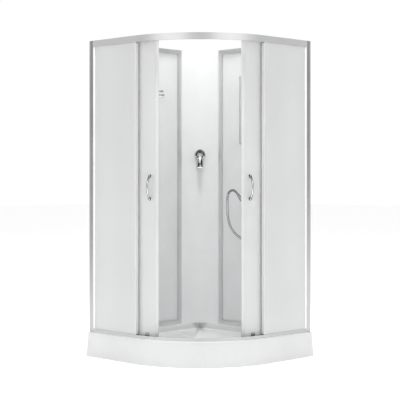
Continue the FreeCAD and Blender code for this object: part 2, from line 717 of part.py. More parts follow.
def make_column():
    """The corner column: a concave quarter-round skin with a return along each stile."""
    body = new_body("column_body")
    section = plane_sketch(body, "XY_Plane", "column_section", "panel_bottom")
    radius = "panel_start - panel_plane"
    inner = ("panel_start", "-panel_start", radius)
    outer = ("panel_start", "-panel_start", radius + " + cove_skin")
    near = "panel_plane - cove_flange"
    side = "panel_start - cove_skin"
    back = "panel_start - sqrt((%s + cove_skin) ^ 2 - cove_skin ^ 2)" % radius
    closed_outline(section, [
        ("panel_start", "-panel_plane", inner), ("panel_plane", "-panel_start"), (near, "-panel_start"),
        (near, "-(%s)" % side), (back, "-(%s)" % side, outer), (side, "-(%s)" % back),
        (side, "-(%s)" % near), ("panel_start", "-(%s)" % near)])
    pad(body, section, "column_pad", "panel_top - panel_bottom")
    ahead = mixer_place() * ALONG_X
    hole = cylinder("valve_opening", "valve_hole", "panel_start", ahead)
    corner = FreeCAD.Placement(FreeCAD.Vector(-HALF, HALF, 0), FreeCAD.Rotation())
    hole.Placement = corner.inverse() * ahead
    keep(cut("column_drilled", body, [hole]), "corner_column", corner)


# ---------------------------------------------------------------- mixer

def mixer_place():
    """The mixer's axis: +X comes forward out of the room corner, +Z is up."""
    return FreeCAD.Placement(FreeCAD.Vector(-HALF, HALF, value("mixer_height")), FreeCAD.Rotation(UP, -45))


COVE_FRONT = "(panel_start * sqrt(2) - sqrt((panel_start - panel_plane) ^ 2 - mixer_plate_radius ^ 2))"
PLATE_FACE = "(%s + mixer_plate_thick)" % COVE_FRONT
KNUCKLE = "(%s + knuckle_ahead)" % PLATE_FACE


def make_mixer():
    """The concealed single-lever mixer: valve, plate, turning knuckle and the lever that tilts on it."""
    place = mixer_place()
    valve = cylinder("valve_barrel", "valve_radius", "valve_length",
                     shift(value(PLATE_FACE + " - valve_length - stem_gap"), 0, 0) * ALONG_X)
    back = value(PLATE_FACE + " - inlet_back")
    ports = []
    for name, degrees in (("inlet_left", -90), ("inlet_right", 90), ("outlet_down", 180)):
        way = shift(back, 0, 0) * turn(FreeCAD.Vector(1, 0, 0), degrees)
        ports.append(cylinder(name + "_boss", "port_radius", "port_reach", way))
        ports.append(cylinder(name, "inlet_radius", "inlet_reach", way))
    keep(joined("valve", [valve] + ports), "mixer_valve", place)

    plate = new_body("plate_body")
    section = plane_sketch(plate, "XZ_Plane", "plate_section")
    closed_outline(section, [
        (COVE_FRONT, "mixer_plate_hole"), (COVE_FRONT, "mixer_plate_radius"),
        (COVE_FRONT + " + mixer_plate_rim", "mixer_plate_radius"),
        (PLATE_FACE, "mixer_plate_radius - mixer_plate_bevel"), (PLATE_FACE, "mixer_plate_hole")])
    revolve(plate, section, "plate_turned", "360", axis="H_Axis")
    keep(plate, "mixer_plate", place)

    turned = new_body("knuckle_body")
    section = plane_sketch(turned, "XZ_Plane", "knuckle_section")
    closed_outline(section, [
        (PLATE_FACE, "0"), (PLATE_FACE, "stem_neck_radius"),
        (KNUCKLE + " - knuckle_half", "stem_neck_radius"),
        (KNUCKLE + " - knuckle_half", "knuckle_radius"), (KNUCKLE + " + knuckle_half", "knuckle_radius"),
        (KNUCKLE + " + knuckle_nose", "knuckle_nose_radius"), (KNUCKLE + " + knuckle_nose", "0")])
    revolve(turned, section, "knuckle_turned", "360", axis="H_Axis")
    pin = cylinder("knuckle_pin", "pin_radius", "pin_reach * 2",
                   shift(value(KNUCKLE), -value("pin_reach"), 0) * ALONG_Y)
    keep(joined("knuckle", [turned, pin]), "mixer_knuckle", place)

    outer = ball("dome_outer_ball", "dome_outer", shift(value(KNUCKLE), 0, 0))
    rim = value(KNUCKLE + " + dome_rim_ahead")
    behind = box("dome_behind", "dome_outer * 2", "dome_outer * 2", "dome_outer * 2",
                 shift(rim - value("dome_outer * 2"), -value("dome_outer"), -value("dome_outer")))
    cap = cut("dome_cap", outer, [behind])
    lugs = box("pin_lugs", "pin_radius * 3", "pin_reach * 2", "pin_radius * 5",
               shift(rim - value("pin_radius * 3"), -value("pin_reach"), -value("pin_radius * 2.5")))
    body = new_body("paddle_body")
    face = plane_sketch(body, "YZ_Plane", "paddle_face", KNUCKLE + " + lever_ahead")
    top = "-dome_inner / 2"
    bottom = "-lever_length"
    half = "lever_tip_width / 2"
    closed_outline(face, [
        ("-lever_top_width / 2", top), ("-(%s)" % half, bottom + " + lever_round", 
         ("-(%s) + lever_round" % half, bottom + " + lever_round", "lever_round")),
        ("-(%s) + lever_round" % half, bottom), (half + " - lever_round", bottom,
         (half + " - lever_round", bottom + " + lever_round", "lever_round")),
        (half, bottom + " + lever_round"), ("lever_top_width / 2", top)])
    pad(body, face, "paddle", "lever_thick")
    groove = plane_sketch(body, "YZ_Plane", "groove_face", KNUCKLE + " + lever_ahead + lever_thick")
    closed_outline(groove, rectangle("-lever_groove_width / 2", "lever_groove_width / 2",
                                     bottom + " + lever_round", "-dome_outer - lever_groove_width"))
    pocket(body, groove, "thumb_groove", "lever_groove_depth")
    cavity = ball("dome_cavity", "dome_inner", shift(value(KNUCKLE), 0, 0))
    bore = cylinder("pin_hole", "pin_bore", "dome_outer * 2",
                    shift(value(KNUCKLE), -value("dome_outer"), 0) * ALONG_Y)
    keep(cut("lever_shell", joined("lever_solid", [cap, lugs, body]), [cavity, bore]), "mixer_lever", place)


# ---------------------------------------------------------------- hand shower

def frame_on(start, direction):
    """A placement at a point whose +Z runs along a direction."""
    return FreeCAD.Placement(start, FreeCAD.Rotation(UP, direction))


OUTLET_RISE = FreeCAD.Vector(0, -1, 1).normalize()
HANDSET_AXIS = FreeCAD.Vector(0, -math.sin(math.radians(dim("handset_tilt"))),
                              math.cos(math.radians(dim("handset_tilt"))))


def outlet_mouth():
    """The place where the hose nut starts, at the end of the rising spout."""
    bend = wall_point(value("outlet_across"), value("outlet_out"), value("outlet_height"))
    return bend + OUTLET_RISE * value("outlet_rise")


def holder_centre():
    """The middle of the holder's ring."""
    return wall_point(value("holder_across"), value("holder_stand"), value("holder_height"))


def make_outlet():
    """The wall outlet: a threaded tail through the panel, a flange and a spout that rises forward."""
    place = wall_place("right", value("outlet_across"), 0, value("outlet_height"))
    toward = outward("right")
    flange = cone("outlet_flange", "outlet_flange_radius", "outlet_flange_radius * 0.7",
                  "outlet_flange_thick", place * shift(0, -value("panel_face"), 0) * toward)
    tail = cylinder("outlet_tail", "outlet_tail_radius", "outlet_tail_length",
                    place * shift(0, -value("panel_face - outlet_tail_length"), 0) * toward)
    stub = cylinder("outlet_stub", "outlet_radius", "outlet_out - panel_face",
                    place * shift(0, -value("panel_face"), 0) * toward)
    bend = ball("outlet_bend", "outlet_radius", place * shift(0, -value("outlet_out"), 0))
    base = wall_point(value("outlet_across"), value("outlet_out"), value("outlet_height"))
    spout = cylinder("outlet_spout", "outlet_radius", "outlet_rise", frame_on(base, OUTLET_RISE))
    keep(joined("outlet", [flange, tail, stub, bend, spout]), "hose_outlet")


def make_nut(label, place):
    """A conical hose nut: a knurled band and a taper down to the hose."""
    band = cylinder(label + "_band", "nut_wide", "nut_band", place)
    taper = cone(label + "_taper", "nut_wide", "nut_narrow", "nut_length - nut_band",
                 place * shift(0, 0, value("nut_band")))
    keep(joined(label + "_solid", [band, taper]), label)


def make_hand_shower():
    """The handset in its wall holder: a tapered grip, a round head and a spray plate with nozzles."""
    centre = holder_centre()
    along = frame_on(centre, HANDSET_AXIS)
    below = value("grip_below")
    grip = cone("grip", "grip_low_radius", "grip_high_radius", "grip_length", along * shift(0, 0, -below))
    lean = turn(FreeCAD.Vector(1, 0, 0), value("head_lean"))
    head_place = along * shift(0, -value("head_ahead"), value("head_rise")) * lean
    crown = ball("grip_crown", "grip_high_radius", along * shift(0, 0, value("grip_length - grip_below")))
    body = new_body("head_body")
    section = plane_sketch(body, "XZ_Plane", "head_section")
    closed_outline(section, [
        ("0", "-head_back"), ("head_radius * 0.35", "-head_back"),
        ("head_radius * 0.8", "-head_back + head_thick * 0.45"),
        ("head_radius", "-head_back + head_thick * 0.8"),
        ("head_radius", "-head_back + head_thick"), ("spray_radius", "-head_back + head_thick"),
        ("spray_radius", "-head_back + head_thick - spray_thick"),
        ("0", "-head_back + head_thick - spray_thick")])
    revolve(body, section, "head", "360")
    body.Placement = head_place
    keep(joined("handset_solid", [grip, crown, body]), "hand_shower")

    face = new_body("spray_body")
    section = plane_sketch(face, "XZ_Plane", "spray_section", None)
    low = "-head_back + head_thick - spray_thick"
    closed_outline(section, [
        ("0", low), ("spray_radius - 0.3", low), ("spray_radius - 0.3", low + " + spray_thick"),
                             ("0", low + " + spray_thick")])
    revolve(face, section, "spray_disc", "360")
    nozzles = plane_sketch(face, "XY_Plane", "nozzle_plan", "-head_back + head_thick")
    count = 0
    for ring, number in ((0.0, 1), (0.35, 6), (0.75, 12)):
        for index in range(number):
            angle = 2 * math.pi * index / number
            across = "spray_radius * %.4f" % (ring * math.cos(angle))
            along_face = "spray_radius * %.4f" % (ring * math.sin(angle))
            circle(nozzles, (across, along_face), "nozzle_radius", "n%d" % count)
            count += 1
    pad(face, nozzles, "nozzles", "nozzle_height")
    keep(face, "spray_plate", head_place)

    arm_start = wall_point(value("holder_across"), value("panel_face"), value("holder_height"))
    toward = outward("right")
    flange = cone("holder_flange", "holder_flange_radius", "holder_flange_radius * 0.75",
                  "holder_flange_thick", FreeCAD.Placement(arm_start, toward.Rotation))
    arm = cylinder("holder_arm", "holder_arm_radius", "holder_stand - panel_face",
                   FreeCAD.Placement(arm_start, toward.Rotation))
    ring = cylinder("holder_ring", "holder_ring_outer", "holder_ring_height",
                    along * shift(0, 0, -value("holder_ring_height / 2")))
    socket = cone("holder_socket", "grip_low_radius + grip_taper_low", "grip_low_radius + grip_taper_high",
                  "holder_ring_height * 2", along * shift(0, 0, -value("holder_ring_height")))
    slot = box("holder_slot", "grip_low_radius * 2 - 1", "holder_ring_outer * 2", "holder_ring_height * 2",
               along * shift(-value("grip_low_radius - 0.5"), -value("holder_ring_outer * 2"),
                             -value("holder_ring_height")))
    keep(cut("holder_bored", joined("holder_solid", [flange, arm, ring]), [socket, slot]), "handset_holder")


def hose_points():
    """The hose's route, from the outlet's nut to the handset's nut, point by point."""
    mouth = outlet_mouth() + OUTLET_RISE * value("nut_length")
    foot = holder_centre() - HANDSET_AXIS * value("grip_below + nut_length")
    route = [(474, 198.8, 1021.8), (474, 229.2, 991.4), (473, 226, 915), (472, 221, 838), (492, 211, 775),
             (540, 197, 728), (602, 181, 700), (668, 163, 706), (716, 147, 756), (737, 134, 834),
             (742, 118, 950), (738, 99, 1090), (732, 80, 1230), (725, 68, 1355)]
    first = mouth + OUTLET_RISE * value("hose_first_run")
    last = foot - HANDSET_AXIS * value("hose_last_run")
    return [mouth, first] + [wall_point(*spot) for spot in route] + [last, foot]


def rounded_route(points):
    """Straight runs joined by tangent arcs, each as large as its two runs allow."""
    edges = []
    start = points[0]
    radii = []
    for before, corner, after in zip(points, points[1:], points[2:]):
        into = (corner - before).normalize()
        away = (after - corner).normalize()
        half_turn = math.acos(max(-1.0, min(1.0, into.dot(away)))) / 2
        shorter = min((corner - before).Length, (after - corner).Length)
        setback = 0.45 * shorter
        radii.append(round(setback / math.tan(half_turn), 1))
        begin = corner - into * setback
        end = corner + away * setback
        inward = (away - into).normalize()
        radius = setback / math.tan(half_turn)
        middle = corner + inward * (radius / math.cos(half_turn) - radius)
        edges.append(Part.LineSegment(start, begin).toShape())
        edges.append(Part.Arc(begin, middle, end).toShape())
        start = end
    edges.append(Part.LineSegment(start, points[-1]).toShape())
    print("hose arc radii", radii)
    return Part.Wire(edges)


def path_frames(path, distances):
    """Places along a path at given distances, each with +Z ahead and a steady X axis.

    The X axis is carried on from place to place, so that it never twists about the path.
    """
    edges = path.OrderedEdges
    places = []
    across = UP
    index = 0
    behind = 0.0
    for distance in distances:
        while index < len(edges) - 1 and distance > behind + edges[index].Length:
            behind += edges[index].Length
            index += 1
        edge = edges[index]
        parameter = edge.getParameterByLength(min(distance - behind, edge.Length))
        ahead = edge.tangentAt(parameter).normalize()
        across = (across - ahead * across.dot(ahead)).normalize()
        turned = FreeCAD.Rotation(across, ahead.cross(across), ahead, "ZXY")
        places.append(FreeCAD.Placement(edge.valueAt(parameter), turned))
    return places


def rib_stations(length):
    """Distance and radius of each circle: four to a rib, which rises from the hose's core."""
    count = int(length / value("rib_pitch"))
    pitch = length / count
    core = value("hose_radius - rib_height")
    crest = value("hose_radius")
    stations = []
    for index in range(count):
        for share, radius in ((0.0, core), (0.25, core), (0.4, crest), (0.85, crest)):
            stations.append(((index + share) * pitch, radius))
    return stations + [(length, core)]


def make_hose():
    """The ribbed shower hose between its two nuts, with its bore."""
    points = hose_points()
    path = rounded_route(points)
    stations = rib_stations(path.Length)
    wires = []
    for place, (distance, radius) in zip(path_frames(path, [spot[0] for spot in stations]), stations):
        ring = Part.Wire(Part.makeCircle(radius))
        ring.Placement = place
        wires.append(ring)
    skin = Part.makeLoft(wires, True, True)
    section = Part.Wire(Part.makeCircle(value("hose_bore"), points[0], points[1] - points[0]))
    bore = path.makePipeShell([section], True, False)
    hose = doc.addObject("Part::Feature", "hose")
    hose.Shape = skin.cut(bore)
    plain = math.pi * value("hose_radius") ** 2 * path.Length
    share = skin.Volume / plain
    print("hose length %.1f, %d circles, skin to plain volume %.3f" % (path.Length, len(wires), share))
    keep(hose, "shower_hose")


# ---------------------------------------------------------------- mirror and shelf

def make_mirror():
    """The mirror, held by the two posts of a chrome rod with ball ends."""
    slab = wall_pad("right", "mirror_slab", rectangle(
        "mirror_start", "mirror_start + mirror_width", "mirror_bottom", "mirror_bottom + mirror_height"),
        "panel_face", "mirror_thick")
    toward = outward("right")
    first = value("rod_first")
    last = value("mirror_start * 2 + mirror_width - rod_first")
    inset = value("rod_post_inset")
    out = value("panel_face")
    height = value("rod_height")
    holes = []
    posts = []
    for index, across in enumerate((first + inset, last - inset)):
        root = shift(across, -out, height) * toward
        holes.append(cylinder("mirror_hole_%d" % index, "rod_radius + 0.5", "mirror_thick", root))
        posts.append(cylinder("rod_post_%d" % index, "rod_radius", "rod_stand + mirror_thick", root))
        posts.append(cylinder("rod_rose_%d" % index, "rod_radius * 2.4", "rod_radius",
                              shift(across, -out - value("mirror_thick"), height) * toward))
    keep(cut("mirror_drilled", slab, holes), "mirror", wall_place("right"))
    bar_out = out + value("mirror_thick + rod_stand")
    bar = cylinder("rod_bar", "rod_radius", "mirror_start * 2 + mirror_width - rod_first * 2",
                   shift(first, -bar_out, height) * ALONG_X)
    ends = [ball("rod_ball_%d" % index, "ball_radius", shift(across, -bar_out, height))
            for index, across in enumerate((first, last))]
    keep(joined("rod", posts + [bar] + ends), "mirror_rod", wall_place("right"))


def make_shelf():
    """The glass shelf with rounded front corners, its two clamps and its two-rod gallery."""
    body = new_body("shelf_body")
    plan = plane_sketch(body, "XY_Plane", "shelf_plan", "shelf_height")
    end = "shelf_start + shelf_length"
    back = "panel_face + shelf_gap"
    out = "panel_face + shelf_depth"
    closed_outline(plan, [
        ("shelf_start", back), (end, back),
        (end, out + " - shelf_corner", (end + " - shelf_corner", out + " - shelf_corner", "shelf_corner")),
        (end + " - shelf_corner", out), ("shelf_start + shelf_corner", out,
         ("shelf_start + shelf_corner", out + " - shelf_corner", "shelf_corner")),
        ("shelf_start", out + " - shelf_corner")])
    pad(body, plan, "shelf_pad", "shelf_thick")
    stand = value("panel_face + gallery_stand")
    first = value("shelf_start")
    last = first + value("shelf_length")
    holes = []
    rods = []
    base = value("shelf_height")
    for index, across in enumerate((first + value("shelf_post_inset"), last - value("shelf_post_inset"))):
        holes.append(cylinder("shelf_hole_%d" % index, "gallery_radius + 0.4", "shelf_thick * 3",
                              shift(across, stand, base - value("shelf_thick"))))
        rods.append(cylinder("gallery_post_%d" % index, "gallery_radius", "gallery_high - shelf_height + 2",
                             shift(across, stand, base - 2)))
        rods.append(cylinder("gallery_foot_%d" % index, "gallery_radius * 2.2", "2",
                             shift(across, stand, base - 2)))
        rods.append(ball("gallery_tip_%d" % index, "gallery_radius * 1.5",
                         shift(across, stand, value("gallery_high"))))
    for level, inset in (("gallery_low", 6.0), ("gallery_high", 15.0)):
        height = value(level)
        rods.append(cylinder("rod_" + level, "gallery_radius", "shelf_length - %s" % (inset * 2),
                             shift(first + inset, stand, height) * ALONG_X))
        for index, across in enumerate((first + inset, last - inset)):
            spot = shift(across, stand, height)
            rods.append(ball("ball_%s_%d" % (level, index), "ball_radius - 0.6", spot))
    keep(cut("shelf_drilled", body, holes), "shelf_glass", wall_place("left"))
    keep(joined("gallery", rods), "shelf_gallery", wall_place("left"))
    clamps = []
    for index, across in enumerate((first + value("shelf_post_inset"), last - value("shelf_post_inset"))):
        block = box("clamp_%d" % index, "bracket_width", "bracket_width * 1.4", "shelf_thick * 4",
                    shift(across - value("bracket_width / 2"), value("panel_face"),
                          base - value("shelf_thick * 1.5")))
        mouth = box("clamp_mouth_%d" % index, "bracket_width * 2", "bracket_width * 2", "shelf_thick",
                    shift(across - value("bracket_width"), value("panel_face + shelf_gap"), base))
        clamps.append(cut("clamp_cut_%d" % index, block, [mouth]))
    keep(group("clamps", clamps), "shelf_clamps", wall_place("left"))


# ---------------------------------------------------------------- doors

def door_place(side):
    """A door's place at rest, open: +X points from the arc's centre through the door's leading edge."""
    sign = SIDES[side]
    pole = ARC_CENTRE + RIGHTWARD * (sign * value("pole_across")) + FRONT * value("pole_ahead")
    closed = FreeCAD.Placement(ARC_CENTRE, FreeCAD.Rotation(UP, -45))
    opened = FreeCAD.Placement(pole, FreeCAD.Rotation(UP, -sign * value("door_open")))
    return opened * FreeCAD.Placement(-pole, FreeCAD.Rotation()) * closed


def on_door(side, angle):
    """The place on a door at an angle back from its leading edge, with +X radial."""
    return door_place(side) * turn(UP, -SIDES[side] * angle)


def at_angle(side, angle):
    """The same angle, in the door's own frame."""
    return turn(UP, -SIDES[side] * angle)


ROLLERS = {"lead": ("lead_wheel_at", "lead_wheel_track"), "trail": ("trail_wheel_at", "trail_wheel_track")}


def make_door_glass(side):
    """A bent pane with holes for its rollers, guides and handle."""
    body = new_body(side + "_door_body")
    section = plane_sketch(body, "XZ_Plane", side + "_door_section")
    closed_outline(section, rectangle("door_face - glass", "door_face", "door_bottom", "door_top"))
    revolve(body, section, side + "_door_bend", "door_end - door_start", backwards=SIDES[side] > 0)
    body.Placement = at_angle(side, value("door_start"))
    holes = []
    heights = [value("frame_top - rail_height + wheel_rise"), value("tray_height + guide_bolt_rise")]
    for role, (angle, track) in ROLLERS.items():
        for index, height in enumerate(heights):
            spot = at_angle(side, value(angle)) * shift(value("door_face - glass * 3"), 0, height)
            holes.append(cylinder("%s_%s_hole_%d" % (side, role, index), "hole_radius", "glass * 6",
                                  spot * ALONG_X))
    for index, sign in enumerate((1, -1)):
        height = value("handle_centre") + sign * value("handle_half")
        spot = at_angle(side, value("handle_at")) * shift(value("door_face - glass * 3"), 0, height)
        holes.append(cylinder("%s_handle_hole_%d" % (side, index), "hole_radius", "glass * 6",
                              spot * ALONG_X))
    keep(cut(side + "_door_drilled", body, holes), side + "_door_glass", door_place(side))


def make_door_seals(side):
    """The magnetic strip on the leading edge and the wiper on the trailing edge."""
    sign = SIDES[side]
    flip = "-" if sign < 0 else ""
    middle = "door_face - glass / 2"
    half = "seal_depth / 2"
    slot = "glass / 2 + 0.1"

    def along(word):
        return "%s(%s)" % (flip, word)

    body = new_body(side + "_magnet_body")
    section = plane_sketch(body, "XY_Plane", side + "_magnet_section", "door_bottom")
    closed_outline(section, [
        (middle + " - " + half, along("-seal_grip")), (middle + " - (%s)" % slot, along("-seal_grip")),
        (middle + " - (%s)" % slot, along("0")), (middle + " + " + slot, along("0")),
        (middle + " + " + slot, along("-seal_grip")), (middle + " + " + half, along("-seal_grip")),
        (middle + " + " + half, along("seal_bead + 1")),
        (middle + " + " + half + " - 1", along("seal_bead + 2")),
        (middle + " - " + half + " + 1", along("seal_bead + 2")),
        (middle + " - " + half, along("seal_bead + 1"))])
    pad(body, section, side + "_magnet_pad", "door_top - door_bottom")
    keep(body, side + "_magnet_seal", on_door(side, value("door_start")))

    wiper = new_body(side + "_wiper_body")
    section = plane_sketch(wiper, "XY_Plane", side + "_wiper_section", "door_bottom + seal_grip * 3")
    thin = "glass / 2 + 1.6"
    closed_outline(section, [
        (middle + " - (%s)" % thin, along("seal_bead")), (middle + " - (%s)" % slot, along("seal_bead")),
        (middle + " - (%s)" % slot, along("0")), (middle + " + " + slot, along("0")),
        (middle + " + " + slot, along("seal_bead")), (middle + " + " + thin, along("seal_bead")),
        (middle + " + " + thin, along("-1")), (middle + " + wiper_lip", along("-1")),
        (middle + " + wiper_lip", along("-2.2")), (middle + " - (%s)" % thin, along("-2.2"))])
    pad(wiper, section, side + "_wiper_pad", "door_top - door_bottom - seal_grip * 8")
    keep(wiper, side + "_wiper", on_door(side, value("door_end")))


def make_rollers(side):
    """The roller and guide brackets, bolted through the glass, and the wheels that turn on them."""
    brackets = []
    wheel_height = "frame_top - rail_height + wheel_rise"
    rows = {"top": (wheel_height, wheel_height, "wheel_radius", "frame_top - rail_height + track_lip + 1",
                    "rail_height - track_lip - drip_lip - 2"),
            "bottom": ("tray_height + guide_rise", "tray_height + guide_bolt_rise", "guide_radius",
                       "door_bottom", "roller_plate_height")}
    for role, (angle, track) in ROLLERS.items():
        for row, (axle, bolt, radius, low, tall) in rows.items():
            name = "%s_%s_%s" % (side, row, role)
            place = at_angle(side, value(angle))
            face = value("door_face")
            plate = box(name + "_plate", "roller_plate_thick", "roller_plate_width", tall,
                        place * shift(face, -value("roller_plate_width / 2"), value(low)))
            back = value("%s - wheel_width / 2" % track)
            reach = "%s - wheel_width / 2 - 0.4 - door_face" % track
            shoulder = cylinder(name + "_shoulder", "spindle_shoulder", reach,
                                place * shift(face, 0, value(axle)) * ALONG_X)
            spindle = cylinder(name + "_spindle", "spindle_radius", "wheel_width + 0.2 + 1",
                               place * shift(back - 1, 0, value(axle)) * ALONG_X)
            bolt_place = place * shift(face - value("glass + 0.2"), 0, value(bolt))
            shank = cylinder(name + "_bolt", "roller_bolt_radius", "glass + 1", bolt_place * ALONG_X)
            cap = cone(name + "_cap", "roller_cap_radius", "roller_cap_radius * 0.7", "roller_cap_height",
                       bolt_place * ALONG_MINUS_X)
            brackets.append(joined(name + "_bracket", [plate, shoulder, spindle, shank, cap]))
            make_wheel(side, row, role, radius, value(axle), angle, track)
    keep(group(side + "_brackets", brackets), side + "_roller_brackets", door_place(side))


def make_wheel(side, row, role, radius, height, angle, track):
    """One nylon wheel with eased edges, on its spindle."""
    label = "%s_%s_%s_wheel" % (side, row, role)
    body = new_body(label + "_body")
    section = plane_sketch(body, "XZ_Plane", label + "_section")
    half = "wheel_width / 2"
    closed_outline(section, [
        ("-" + half, "wheel_bore"), (half, "wheel_bore"),
        (half, radius + " - 0.8"), (half + " - 0.8", radius),
        ("-%s + 0.8" % half, radius), ("-" + half, radius + " - 0.8")])
    revolve(body, section, label + "_turned", "360", axis="H_Axis")
    keep(body, label, on_door(side, value(angle)) * shift(value(track), 0, height))


def make_handle(side, outside):
    """A bow handle: a bent rod on two posts, with a foot against the glass at each."""
    where = "outer" if outside else "inner"
    name = "%s_%s_handle" % (side, where)
    sign = 1 if outside else -1
    toward = ALONG_X if outside else ALONG_MINUS_X
    face = value("door_face") + 0.05 if outside else value("door_face - glass") - 0.15
    centre = value("handle_centre")
    sag = "(handle_reach - handle_post_length)"
    bow = "((handle_half ^ 2 + %s ^ 2) / (2 * %s))" % (sag, sag)
    sweep = "2 * asin(handle_half / %s)" % bow
    place = at_angle(side, value("handle_at"))
    rod = doc.addObject("Part::Torus", name + "_bow")
    rod.setExpression("Radius1", named(bow))
    rod.setExpression("Radius2", named("handle_rod"))
    rod.setExpression("Angle3", named(sweep))
    middle = face + sign * (value("handle_reach") - value(bow))
    half_angle = math.degrees(math.asin(value("handle_half") / value(bow)))
    swing = turn(FreeCAD.Vector(1, 0, 0), 90) * turn(UP, -half_angle)
    if not outside:
        swing = turn(UP, 180) * swing
    rod.Placement = place * shift(middle, 0, centre) * swing
    pieces = [rod]
    for index, level in enumerate((1, -1)):
        root = place * shift(face, 0, centre + level * value("handle_half")) * toward
        tip = face + sign * value("handle_post_length")
        pieces.append(cylinder("%s_post_%d" % (name, index), "handle_post", "handle_post_length", root))
        pieces.append(ball("%s_knuckle_%d" % (name, index), "handle_post",
                           place * shift(tip, 0, centre + level * value("handle_half"))))
        pieces.append(cone("%s_foot_%d" % (name, index), "handle_foot", "handle_post", "2.5", root))
        if outside:
            rise = centre + level * value("handle_half")
            stud = place * shift(face - value("glass + 0.2"), 0, rise) * ALONG_X
            pieces.append(cylinder("%s_stud_%d" % (name, index), "roller_bolt_radius", "glass + 1", stud))
    keep(joined(name + "_solid", pieces), name, door_place(side))


# ---------------------------------------------------------------- build

make_tray()
make_support()
make_drain()
make_rail("bottom_rail", "bottom", "tray_height")
make_rail("top_rail", "top", "frame_top - rail_height")
make_jambs()
make_fixed_glass()
make_frame_hardware()
make_wall_panels()
make_column()
make_mixer()
make_outlet()
make_nut("outlet_nut", frame_on(outlet_mouth(), OUTLET_RISE))
make_nut("handset_nut", frame_on(holder_centre() - HANDSET_AXIS * value("grip_below"), -HANDSET_AXIS))
make_hand_shower()
make_hose()
make_mirror()
make_shelf()
for door in SIDES:
    make_door_glass(door)
    make_door_seals(door)
    make_rollers(door)
    make_handle(door, True)
    make_handle(door, False)

doc.recompute()
faults = []
for item in doc.Objects:
    if "Invalid" in item.State or "Error" in item.State:
        faults.append("%s is %s" % (item.Name, item.State))
for item in parts:
    if item.Shape.isNull() or not item.Shape.isValid() or not item.Shape.Solids:
        faults.append("%s has no valid solid" % item.Label)
if faults:
    raise RuntimeError("\n".join(faults))

os.makedirs("parts", exist_ok=True)
for item in parts:
    item.Shape.exportStep("parts/%s.step" % item.Label)
    print("%-26s solids %2d  volume %.0f" % (item.Label, len(item.Shape.Solids), item.Shape.Volume))
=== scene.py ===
import logging
import math
from bisect import bisect_left
from dataclasses import dataclass
from enum import Enum
from typing import Callable, Sequence

import bmesh
import bpy
from mathutils import Matrix, Vector


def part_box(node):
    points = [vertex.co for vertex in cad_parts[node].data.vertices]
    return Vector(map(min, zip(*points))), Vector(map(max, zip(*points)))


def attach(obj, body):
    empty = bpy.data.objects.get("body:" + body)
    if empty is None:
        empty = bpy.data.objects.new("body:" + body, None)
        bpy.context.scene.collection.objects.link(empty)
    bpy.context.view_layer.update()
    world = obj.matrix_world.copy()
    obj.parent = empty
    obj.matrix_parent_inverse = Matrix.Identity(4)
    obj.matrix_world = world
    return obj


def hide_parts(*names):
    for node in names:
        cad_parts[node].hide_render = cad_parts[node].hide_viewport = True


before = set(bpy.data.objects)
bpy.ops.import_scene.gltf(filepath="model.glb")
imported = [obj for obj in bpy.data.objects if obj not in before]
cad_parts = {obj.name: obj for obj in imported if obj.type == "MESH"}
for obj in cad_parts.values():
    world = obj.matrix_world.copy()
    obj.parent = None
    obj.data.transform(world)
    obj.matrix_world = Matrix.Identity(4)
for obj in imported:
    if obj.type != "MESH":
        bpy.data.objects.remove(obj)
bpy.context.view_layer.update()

log = logging.getLogger("quadrant_shower")

Point = tuple[float, float, float]
Colour = tuple[float, float, float]
Span = tuple[float, float]
Piece = bpy.types.Object
Tree = bpy.types.NodeTree
Socket = bpy.types.NodeSocket
ShaderNode = bpy.types.Node

ROOT = "enclosure"
UP: Point = (0.0, 0.0, 1.0)
QUARTER = math.radians(90.0)
ARC_CENTRE: Point = (-0.075, 0.075, 0.0)


class Side(Enum):
    """The two sides of the entry, as seen from in front of it."""

    LEFT = "left"
    RIGHT = "right"


class Rounding(Enum):
    """How a shape's edges are rounded: the width in metres, and the faces across it."""

    NONE = (0.0, 1)
    FINE = (0.0002, 1)
    GROUND = (0.0003, 1)
    STAMPED = (0.0004, 1)
    DRAWN = (0.0004, 2)
    CAST = (0.0005, 1)
    PLATE = (0.0005, 2)
    EASED = (0.0006, 2)
    MOULDED = (0.0008, 2)
    BROAD = (0.001, 2)
    WELDED = (0.002, 2)


# ------------------------------------------------------------------ shader groups


class GroupSocket(Enum):
    """The kinds of socket that the shared groups use."""

    VALUE = "NodeSocketFloat"
    VECTOR = "NodeSocketVector"


def new_group(name: str, inputs: dict[str, tuple[GroupSocket, object]],
              outputs: dict[str, GroupSocket]) -> Tree:
    """Starts an empty shader node group.

    Args:
        name: the group's name.
        inputs: the kind and first value of each input socket, by name.
        outputs: the kind of each output socket, by name.

    Returns:
        The group, with its input and output nodes in it.
    """
    tree = bpy.data.node_groups.new(name, "ShaderNodeTree")
    for label, (kind, value) in inputs.items():
        socket = tree.interface.new_socket(label, in_out="INPUT", socket_type=kind.value)
        if value is not None:
            socket.default_value = value
    for label, kind in outputs.items():
        tree.interface.new_socket(label, in_out="OUTPUT", socket_type=kind.value)
    tree.nodes.new("NodeGroupInput").name = "in"
    tree.nodes.new("NodeGroupOutput").name = "out"
    return tree


def feed(tree: Tree, holder: ShaderNode, **inputs: object) -> None:
    """Links or sets a node's inputs.

    Args:
        tree: the node tree.
        holder: the node.
        inputs: input sockets by name, with an underscore for a blank, or by _number; a socket is linked,
            a value is set.
    """
    for key, value in inputs.items():
        socket = holder.inputs[int(key[1:])] if key[1:].isdigit() else holder.inputs[key.replace("_", " ")]
        if isinstance(value, Socket):
            tree.links.new(value, socket)
        else:
            socket.default_value = value


